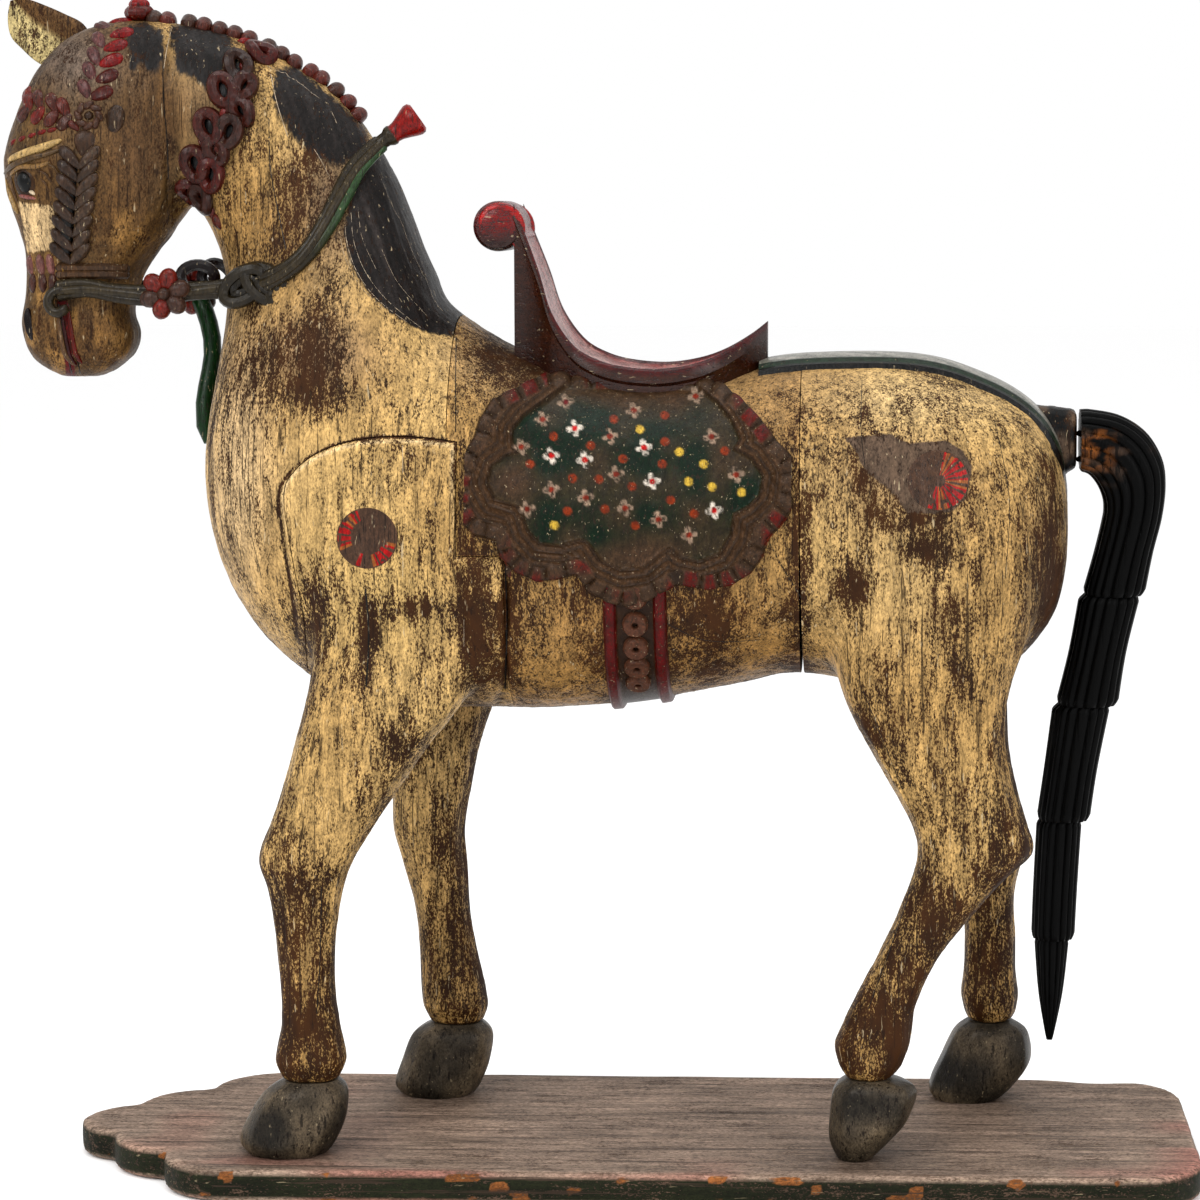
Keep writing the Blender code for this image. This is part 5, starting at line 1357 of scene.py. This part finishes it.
def saddle():
    """The carved seat with its raised rim, front scroll and pointed back."""
    heap = Heap()
    rows = catmull(SADDLE, 4)
    rings, tints, keeps = [], [], []
    shares = np.linspace(-1, 1, 49)
    for x, height, half in rows:
        profile = []
        inner = max(half - 7.0, 1.0)
        for s in shares:
            a = abs(s)
            if a <= 0.86:
                profile.append((s / 0.86 * inner, height - 9 * (1 - (a / 0.86) ** 2) - 3))
            else:
                k = (a - 0.86) / 0.14
                profile.append((math.copysign(inner + (half - inner) * k, s),
                                height - 3 + 5 * math.sin(math.pi * min(k * 0.9, 1))))
        wall = [(1.0, height - 9), (1.03, height - 16), (0.985, height - 20), (0.93, height - 48), (0.88, 850)]
        ring = [(x * MM, y * MM, DECK + z * MM) for y, z in profile]
        ring += [(x * MM, half * k * MM, DECK + min(z, height - 4) * MM) for k, z in wall]
        ring += [(x * MM, -half * k * MM, DECK + min(z, height - 4) * MM) for k, z in reversed(wall)]
        rings.append(ring)
        flat = ramp(np.array(float(x)), 20, 110)
        for s in shares:
            worn = 0.25 + 0.75 * abs(math.sin(x * 0.06 + 2.2 * s)) * (1 - flat * 0.5)
            if abs(s) < 0.84:
                # The seat's top is paled by worn paint and by a painted highlight in the middle of its hollow.
                seat_wear_and_highlight = min(1.0, 0.35 * worn + 0.5 * math.exp(-((x + 45) / 40) ** 2) * (1 - abs(s)))
                tints.append(mixed(srgb(150, 38, 34), srgb(226, 192, 182), seat_wear_and_highlight))
                keeps.append(0.66)
            else:
                tints.append(srgb(92, 30, 28))
                keeps.append(0.7)
        for _ in range(2 * len(wall)):
            tints.append(srgb(62, 40, 34))
            keeps.append(0.85)
    rings = np.array(rings)
    heap.add(rings, ring_faces(len(rings), rings.shape[1]), np.array(tints), np.array(keeps))
    centre = np.array(point(-161, 0, 1124))
    turns = np.linspace(0, 3.2 * np.pi, 90)
    outer = 30.0 * np.exp(-0.12 * turns)
    outline = np.stack((np.cos(turns - 0.35) * outer, np.zeros(90), np.sin(turns - 0.35) * outer), 1) * MM
    for side in (-1, 1):
        path = [Vector(centre + p + np.array((0, side * 0.058, 0))) for p in outline]
        bar(heap, path, np.linspace(0.0058, 0.0028, 90), srgb(140, 32, 30), 0.7, 10)
    angle = np.linspace(0, 2 * np.pi, 40, endpoint=False)
    rings = []
    for y, r in ((-64, 0.3), (-63, 0.62), (-60, 0.86), (-55, 0.97), (-48, 1), (48, 1), (55, 0.97), (60, 0.86),
                 (63, 0.62), (64, 0.3)):
        rings.append(centre + np.stack((np.cos(angle) * 31 * r, np.full(40, y), np.sin(angle) * 31 * r), 1) * MM)
    low = 1 - ramp(np.concatenate(rings)[:, 2] - centre[2], -0.022, 0.006)
    heap.add(rings, ring_faces(len(rings), 40), mixed(srgb(132, 32, 30), srgb(70, 44, 38), low), 0.62)
    root = ((-160, 1154), (-148, 1151), (-137, 1142), (-126, 1112), (-138, 1096), (-150, 1112))
    rings = [[(x * MM, y * MM, DECK + z * MM) for x, z in root] for y in (-58, 58)]
    heap.add(rings, ring_faces(2, len(root)), srgb(120, 32, 30), 0.66)
    return heap


def tail():
    """The fluted tail in stepped tiers, its front end broken to bare wood, with two black pins."""
    heap = Heap()
    sides = 120
    angle = 2 * np.pi * (np.arange(sides) + 0.5) / sides
    flute = np.abs(np.cos(angle * 8.5 + 0.4))
    for number, tier in enumerate(TAIL_TIERS):
        rows = catmull(tier, 6)
        if number:
            above = np.array(TAIL_TIERS[number - 1][-1], float)
            middle = (above[0] + above[2]) / 2
            root = (0.8 * above[0] + 0.2 * middle, above[1] + 8,
                    0.8 * above[2] + 0.2 * middle, above[3] + 8, 0.8 * above[4])
            rows = [np.array(root), *rows]
        rings = []
        for k, (top_x, top_z, low_x, low_z, half) in enumerate(rows):
            end = min(k, len(rows) - 1 - k)
            swell = 1.0 if end > 1 else (0.96 if end == 1 else 0.9)
            if number == 0 and k < 2:
                swell = 1.0 - 0.02 * (2 - k)
            ring = oval(point(top_x, 0, top_z), point(low_x, 0, low_z), half * MM, 0, sides, 2.5)
            middle = ring.mean(0)
            reach = swell * (0.90 + 0.12 * flute ** 0.6)
            rings.append(middle + (ring - middle) * reach[:, None])
        heap.add(rings, ring_faces(len(rings), sides), BLACK * 0.75, 0.9)
    co = np.concatenate(heap.co)
    for height in (868, 836):
        bar(heap, [point(548.5, 0, height), point(553, 0, height), point(560, 0, height)], 0.0042, BLACK * 0.5, 1)
    tint, keep = np.concatenate(heap.tint).copy(), np.concatenate(heap.keep).copy()
    bare = (1 - ramp(co[:, 0], 0.575, 0.60)) * (1 - ramp(np.abs(co[:, 2] - DECK - 0.850), 0.022, 0.03))
    bare = bare * ramp(value_noise(co, 90, 31), 0.42, 0.55)
    worn = (1 - ramp(co[:, 0], 0.60, 0.66)) * ramp(co[:, 2], 0.84, 0.86)
    worn = worn * ramp(value_noise(co, (40, 40, 90), 32), 0.5, 0.7)
    count = len(co)
    tint[:count] = mixed(mixed(tint[:count], srgb(120, 74, 44), bare), srgb(84, 68, 58), 0.6 * worn)
    heap.tint, heap.keep = [tint], [keep]
    return heap


def hooves():
    """The four hooves, cut in planes and set under the legs."""
    heap = Heap()
    for number, (side, out, rows) in enumerate(HOOVES.values()):
        fine = catmull([(r[0], r[1], r[0], r[2], r[3]) for r in rows], 4)
        rings = []
        for height, front, _, back, half in fine:
            height = max(height, 0.2)
            ring = oval(point(front, 0, height), point(back, 0, height), half * MM, side * out * MM, 72, 2.3)
            corners = np.roll(ring, number + 2, 0)[::8]
            planes = np.concatenate([a + np.linspace(0, 1, 8, endpoint=False)[:, None] * (b - a)
                                     for a, b in zip(corners, np.roll(corners, -1, 0))])
            rings.append(0.45 * np.roll(ring, number + 2, 0) + 0.55 * planes)
        co = np.array(rings)
        middle = co.mean(1, keepdims=True)
        flat = co.reshape(-1, 3)
        wobble = 1 + 0.03 * (value_noise(flat, (45, 45, 30), 41) - 0.5) + 0.03 * (value_noise(flat, 22, 42) - 0.5)
        co = middle + (co - middle) * wobble.reshape(co.shape[:2] + (1,))
        shade = value_noise(flat, 26, 43)[:, None]
        tint = srgb(66, 61, 54) * (0.4 + 1.3 * shade ** 2) + srgb(150, 126, 96) * 0.6 * shade ** 3
        heap.add(co, ring_faces(len(rings), 72), tint, 0.74)
    return heap


BOARD_LENGTH = 1.395
BOARD_WIDTH = 0.47
CORNER_RADIUS = 0.09


def arc(start, end, rise, steps):
    """Points of a circle's arc from start to end, which bulges by rise."""
    chord = end - start
    half = np.linalg.norm(chord) / 2
    radius = (half ** 2 + rise ** 2) / (2 * rise)
    out = np.array((-chord[1], chord[0])) / (2 * half)
    centre = (start + end) / 2 + out * (rise - radius)
    sweep = math.asin(min(1, half / radius))
    if rise > half:
        sweep = math.pi - sweep
    along = chord / (2 * half)
    return [centre + out * radius * math.cos(a) + along * radius * math.sin(a)
            for a in (sweep * (2 * k / steps - 1) for k in range(steps + 1))]


def board():
    """The base board: a lobed plank, worn round its edges, chipped near its far end."""
    width = BOARD_WIDTH
    half, front, back = width / 2, -BOARD_LENGTH / 2, BOARD_LENGTH / 2
    cusps = ((0.117, 0.285), (0.287, 0.626), (0.447, 1.0))  # shares of the width behind the front, and of half of it
    first = np.array((front + cusps[0][0] * width, -cusps[0][1] * half))
    last = np.array((first[0], -first[1]))
    right = arc(first, last, cusps[0][0] * width, 24)[12:]
    for x, y in cusps[1:]:
        corner = np.array((front + x * width, y * half))
        right += arc(last, corner, 0.19 * np.linalg.norm(corner - last), 16)[1:]
        last = corner
    middle = np.array((back - CORNER_RADIUS, half - CORNER_RADIUS))
    for k in range(17):
        angle = math.pi / 2 * (1 - k / 16)
        right.append(middle + CORNER_RADIUS * np.array((math.cos(angle), math.sin(angle))))
    outline = right + [np.array((p[0], -p[1])) for p in reversed(right) if p[1] > TINY]
    inset = []
    for i, p in enumerate(outline):
        q = outline[(i + 1) % len(outline)] - outline[i - 1]
        normal = np.array((-q[1], q[0]))
        inset.append(p + normal / max(np.linalg.norm(normal), TINY) * -0.0015)
    heap = Heap()
    rings = [[(p[0], p[1], z) for p in line] for z, line in ((0.0004, inset), (0.002, outline), (0.037, outline),
                                                             (0.0396, inset))]
    heap.add(rings, ring_faces(4, len(outline)))
    obj = heap.piece("board_planed")
    remeshed(obj, 0.0058)
    relax(obj, 3, 0.6)
    co, normals = points_of(obj), normals_of(obj)
    edge = ramp(np.abs(normals[:, 2]), 0.95, 0.3)
    lift = 0.9 * (value_noise(co, (16, 70, 40), 51) - 0.5) + 1.6 * edge * (value_noise(co, (50, 50, 90), 52) - 0.6)
    chip = blob(co[:, 0], co[:, 1], 0.60, 0.235, 0.05, 0.02) * (co[:, 2] > 0.02)
    lift -= 5 * chip
    co = co + normals * (lift * MM)[:, None]
    low, high = np.array(cad_box[0]), np.array(cad_box[1])
    co[:, 2] = np.clip(co[:, 2], 0.0001, 0.0400)
    co[:, 1] = np.clip(co[:, 1], low[1], high[1])
    co[:, 0] = np.clip(co[:, 0], low[0], high[0] - 0.0001)
    move_points(obj, co)
    streak = value_noise(co, (5, 60, 20), 53)[:, None]
    cloud = value_noise(co, (9, 16, 9), 54)
    tint = srgb(168, 144, 126) * (0.68 + 0.54 * streak)
    nearby = np.clip(1.0 - 12 * (co[:, 1] + 0.235), 0, 1) + np.clip(1.0 - 14 * (0.6975 - co[:, 0]), 0, 1)
    rose = 0.55 * np.clip(nearby, 0, 1) * ramp(cloud + 0.25 * streak[:, 0], 0.5, 0.85)
    tint = mixed(tint, srgb(168, 84, 78), rose)
    left = (1 - ramp(co[:, 0], -0.45, -0.2)) * ramp(cloud, 0.5, 0.8) * 0.3
    tint = mixed(tint, srgb(160, 100, 86), left)
    # A painted shadow darkens the board round each hoof.
    painted_hoof_shadow = np.zeros(len(co))
    for x, y in ((-0.41, -0.145), (-0.26, 0.14), (0.30, -0.145), (0.43, 0.14)):
        painted_hoof_shadow = np.maximum(painted_hoof_shadow, blob(co[:, 0], co[:, 1], x, y, 0.09, 0.075))
    tint = tint * (1 - 0.45 * painted_hoof_shadow[:, None])
    side = ramp(np.abs(normals[:, 2]), 0.7, 0.4)
    tint = mixed(tint, srgb(46, 48, 38) * (0.7 + 0.5 * cloud[:, None]), side)
    keep = 0.72 + 0.16 * (cloud - 0.5) - 0.02 * side
    bare = ramp(value_noise(co, (34, 34, 90), 55), 0.74, 0.84) * ramp(np.abs(normals[:, 2]), 0.9, 0.6)
    paint(obj, tint, keep, np.concatenate((np.broadcast_to(BARE, (len(co), 3)), bare[:, None]), 1))
    return obj


def link(tree, a, b):
    """Joins an output to an input."""
    tree.links.new(a, b)


def material(name, under, rough=(0.42, 0.6), grain=(1, 1, 0.13), scale=1.0, bump=0.4, wear=1.0, spec=0.10,
             scratch=0.5, edges=1.3):
    """Painted wood: the stored coats, streaked and flecked along the grain down to what is under them, darkened in
    hollows by painted shade and brightened on edges by a painted highlight as strong as edges.
    """
    mat = bpy.data.materials.new(name)
    mat.use_nodes = True
    tree = mat.node_tree
    nodes = tree.nodes
    shader = nodes["Principled BSDF"]
    shader.inputs["Specular IOR Level"].default_value = spec
    geometry = nodes.new("ShaderNodeNewGeometry")

    def noise(factors, size, detail=5.0, roughness=0.6, distortion=0.0):
        mapping = nodes.new("ShaderNodeMapping")
        mapping.inputs["Scale"].default_value = factors
        link(tree, geometry.outputs["Position"], mapping.inputs["Vector"])
        node = nodes.new("ShaderNodeTexNoise")
        node.inputs["Scale"].default_value = size
        node.inputs["Detail"].default_value = detail
        node.inputs["Roughness"].default_value = roughness
        node.inputs["Distortion"].default_value = distortion
        link(tree, mapping.outputs["Vector"], node.inputs["Vector"])
        return node.outputs["Fac"]

    def maths(operation, first, second):
        node = nodes.new("ShaderNodeMath")
        node.operation = operation
        for socket, value in zip(node.inputs, (first, second)):
            if isinstance(value, (int, float)):
                socket.default_value = value
            else:
                link(tree, value, socket)
        return node.outputs[0]

    def swing(value, amount):
        return maths("MULTIPLY", maths("SUBTRACT", value, 0.5), amount)

    def stretch(value, low, high, to_low=0.0, to_high=1.0):
        node = nodes.new("ShaderNodeMapRange")
        node.interpolation_type = "SMOOTHSTEP"
        for key, number in (("From Min", low), ("From Max", high), ("To Min", to_low), ("To Max", to_high)):
            node.inputs[key].default_value = number
        link(tree, value, node.inputs["Value"])
        return node.outputs[0]

    def mix(factor, first, second, kind="MIX"):
        node = nodes.new("ShaderNodeMix")
        node.data_type = "RGBA"
        node.blend_type = kind
        sockets = [s for s in node.inputs if s.type == "RGBA"]
        for socket, value in ((node.inputs[0], factor), (sockets[0], first), (sockets[1], second)):
            if isinstance(value, (int, float)):
                socket.default_value = value
            elif isinstance(value, (tuple, np.ndarray)):
                socket.default_value = (*value, 1)
            else:
                link(tree, value, socket)
        return [s for s in node.outputs if s.type == "RGBA"][0]

    def scaled(colour, factor):
        node = nodes.new("ShaderNodeVectorMath")
        node.operation = "SCALE"
        link(tree, colour, node.inputs[0])
        link(tree, factor, node.inputs["Scale"])
        return node.outputs[0]

    def stored(name):
        node = nodes.new("ShaderNodeAttribute")
        node.attribute_name = name
        return node

    tint, keep, over = stored("tint"), stored("keep"), stored("over")
    wide = tuple(0.4 + 0.6 * g for g in grain)
    streaks = noise(grain, 150 * scale, 5, 0.65, 0.3)
    blotches = noise(wide, 36 * scale, 6, 0.68, 0.6)
    flecks = noise(wide, 520, 5, 0.68)
    total = maths("ADD", maths("ADD", swing(streaks, 1.15 * wear), swing(blotches, 0.95 * wear)),
                  maths("ADD", swing(flecks, 1.75 * wear), keep.outputs["Fac"]))
    whole = stretch(total, 0.40, 0.60)
    coated = stretch(maths("ADD", over.outputs["Alpha"], swing(streaks, 0.9)), 0.36, 0.64)
    paint_colour = mix(coated, tint.outputs["Color"], over.outputs["Color"])
    paint_colour = scaled(paint_colour, stretch(noise(grain, 70 * scale, 4), 0.3, 0.7, 0.70, 1.2))
    paint_colour = scaled(paint_colour, stretch(noise(wide, 260, 4, 0.7), 0.3, 0.7, 0.68, 1.26))
    paint_colour = scaled(paint_colour, stretch(total, 0.48, 0.95, 0.66, 1.12))
    deep = mix(stretch(noise(wide, 30, 5), 0.35, 0.7), tuple(under * 0.7), tuple(under * 1.45))
    colour = mix(whole, deep, paint_colour)
    lines = stretch(noise(tuple(g * g if g < 1 else 1 for g in grain), 240 * scale, 3, 0.6, 0.3), 0.34, 0.43)
    colour = mix(stretch(lines, 0, 1, 0.8, 0.0), colour, tuple(under * 0.42))
    nicks = stretch(noise(grain, 260 * scale, 3, 0.55, 0.4), 0.66, 0.72, 0.0, scratch)
    colour = mix(nicks, colour, tuple(PALE * 0.9))
    # Painted shade in hollows and a painted highlight on convex edges, read off the surface's pointiness.
    colour = scaled(colour, stretch(geometry.outputs["Pointiness"], 0.44, 0.56, 0.62, edges))
    link(tree, colour, shader.inputs["Base Color"])
    link(tree, stretch(whole, 0, 1, rough[1], rough[0]), shader.inputs["Roughness"])
    height = maths("ADD", maths("MULTIPLY", whole, 0.35), maths("MULTIPLY", lines, 0.7))
    height = maths("ADD", height, maths("MULTIPLY", streaks, 0.9))
    height = maths("ADD", height, maths("MULTIPLY", flecks, 0.4))
    node = nodes.new("ShaderNodeBump")
    node.inputs["Strength"].default_value = bump
    node.inputs["Distance"].default_value = 0.0012
    link(tree, height, node.inputs["Height"])
    link(tree, node.outputs["Normal"], shader.inputs["Normal"])
    return mat


def finish_piece(obj, mat, replaced=(), sharp=40):
    """Keeps a piece within the solids' box, gives it its paint and hangs it under the root body, hiding the solids
    that it replaces.
    """
    inner = np.array(cad_box) + np.array(((1,), (-1,))) * 0.00005
    move_points(obj, np.clip(points_of(obj), inner[0], inner[1]))
    obj.data.materials.clear()
    obj.data.materials.append(mat)
    obj.data.shade_smooth()
    obj.data.set_sharp_from_angle(angle=math.radians(sharp))
    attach(obj, "root")
    if replaced:
        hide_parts(*replaced)


def area(name, place, target, size, power):
    """A rectangular lamp that faces a target."""
    light = bpy.data.lights.new(name, "AREA")
    light.shape = "RECTANGLE"
    light.size, light.size_y = size
    light.energy = power
    obj = bpy.data.objects.new(name, light)
    obj.location = place
    obj.rotation_euler = (Vector(target) - Vector(place)).to_track_quat("-Z", "Y").to_euler()
    bpy.context.scene.collection.objects.link(obj)


# The camera: its place, its yaw, tilt down and roll in degrees, its lens in pixels of the photo's 1200, its shift
CAMERA_PLACE = (0.2971, -4.2272, 1.1873)
LOOK = (2.1507, 3.3608, -0.0128)
LENS = 3416.3
SHIFT = (-0.12, -0.16)
PHOTO_WIDTH = 1200
SENSOR = 36
FLOOR_REACH = 30
FLOOR_HEIGHT = -0.0005


def stage():
    """The white studio: its light, its floor and its camera."""
    scene = bpy.context.scene
    scene.view_settings.view_transform = "Standard"
    scene.view_settings.look = "None"
    world = bpy.data.worlds.new("studio")
    world.use_nodes = True
    world.node_tree.nodes["Background"].inputs["Color"].default_value = (1, 1, 1, 1)
    world.node_tree.nodes["Background"].inputs["Strength"].default_value = 1.0
    scene.world = world
    mesh = bpy.data.meshes.new("floor")
    corners = ((-1, -1), (1, -1), (1, 1), (-1, 1))
    mesh.from_pydata([(FLOOR_REACH * x, FLOOR_REACH * y, FLOOR_HEIGHT) for x, y in corners], [], [(0, 1, 2, 3)])
    floor = bpy.data.objects.new("floor", mesh)
    scene.collection.objects.link(floor)
    mat = bpy.data.materials.new("pale_floor")
    mat.use_nodes = True
    shader = mat.node_tree.nodes["Principled BSDF"]
    shader.inputs["Base Color"].default_value = (0.995, 0.995, 0.995, 1)
    shader.inputs["Roughness"].default_value = 0.9
    mesh.materials.append(mat)
    area("key", (-2.2, -3.6, 3.4), (0, 0, 0.7), (2.2, 2.2), 130)
    area("fill", (2.8, -3.4, 2.2), (0, 0, 0.7), (2.2, 2.2), 60)
    area("top", (0.2, -0.4, 4.2), (0, 0, 0.8), (2.6, 1.6), 60)
    camera = bpy.data.cameras.new("camera")
    camera.sensor_width = SENSOR
    camera.lens = LENS * SENSOR / PHOTO_WIDTH
    camera.shift_x, camera.shift_y = SHIFT
    obj = bpy.data.objects.new("camera", camera)
    yaw, tilt, roll = (math.radians(a) for a in LOOK)
    obj.matrix_world = (Matrix.Translation(CAMERA_PLACE) @ Matrix.Rotation(yaw, 4, "Z")
                        @ Matrix.Rotation(math.pi / 2 - tilt, 4, "X") @ Matrix.Rotation(roll, 4, "Z"))
    scene.collection.objects.link(obj)
    scene.camera = obj


stage()
figure = whole_figure()
carve(figure)
surface = Surface(figure)
pieces = split_figure(figure)
bpy.data.objects.remove(figure)
dress_figure(pieces)

body_paint = material("worn_ochre_paint", UMBER)
trim_paint = material("worn_trim_paint", srgb(50, 38, 31), rough=(0.28, 0.46), scale=1.6, wear=0.42, spec=0.16,
                      edges=0.98)
cloth_paint = material("cloth_paint", srgb(74, 58, 46), rough=(0.38, 0.52), scale=1.5, wear=0.32,
                       grain=(1, 1, 0.6), spec=0.1)
seat_paint = material("seat_paint", srgb(64, 32, 28), rough=(0.26, 0.45), grain=(0.3, 1, 1), wear=0.8, spec=0.25)
tail_paint = material("tail_paint", srgb(20, 18, 18), rough=(0.4, 0.6), wear=0.4, spec=0.05, scratch=0.0)
hoof_paint = material("hoof_paint", srgb(40, 34, 29), rough=(0.34, 0.55), grain=(1, 1, 0.5), wear=0.8, scratch=0.25)
board_paint = material("board_paint", srgb(98, 80, 68), rough=(0.6, 0.75), grain=(0.12, 1, 1), wear=0.9, spec=0.08,
                       scratch=0.3)

for name, piece in pieces.items():
    finish_piece(piece, body_paint, (name,))
chain = Heap()
ornaments = head_ornaments(surface, chain)
mirrored(chain)
finish_piece(chain.piece("neck_chain"), trim_paint)
finish_piece(ornaments.piece("bridle"), trim_paint)
finish_piece(eye_and_brow(surface).piece("eyes_and_brows"), trim_paint)
finish_piece(ear().piece("ear"), body_paint)
SIDES = ((-1, "_left"), (1, "_right"))
for name, placing in (("shoulder_medallion", (368, 541, 31, ((5, 80), (105, 118), (150, 252)), 0.46, 61)),
                      ("rump_medallion", (934, 482, 31, ((282, 112),), 0.1, 71))):
    for side, word in SIDES:
        finish_piece(medallion(surface, side, *placing).piece(name + word), trim_paint)
finish_piece(hairlines(surface).piece("cracks"), trim_paint)
for side, word in SIDES:
    finish_piece(reins(surface, side).piece("rein" + word), trim_paint)
for side, word in SIDES:
    finish_piece(saddle_cloth(side).piece("saddle_cloth" + word), cloth_paint)
finish_piece(girth().piece("girth"), cloth_paint)
finish_piece(croup_strap().piece("croup_strap"), trim_paint)
finish_piece(saddle().piece("saddle_carved"), seat_paint, ("saddle",), 30)
finish_piece(tail().piece("tail_carved"), tail_paint, ("tail",), 50)
finish_piece(hooves().piece("hooves"), hoof_paint)
finish_piece(board(), board_paint, ("base_board",), 50)
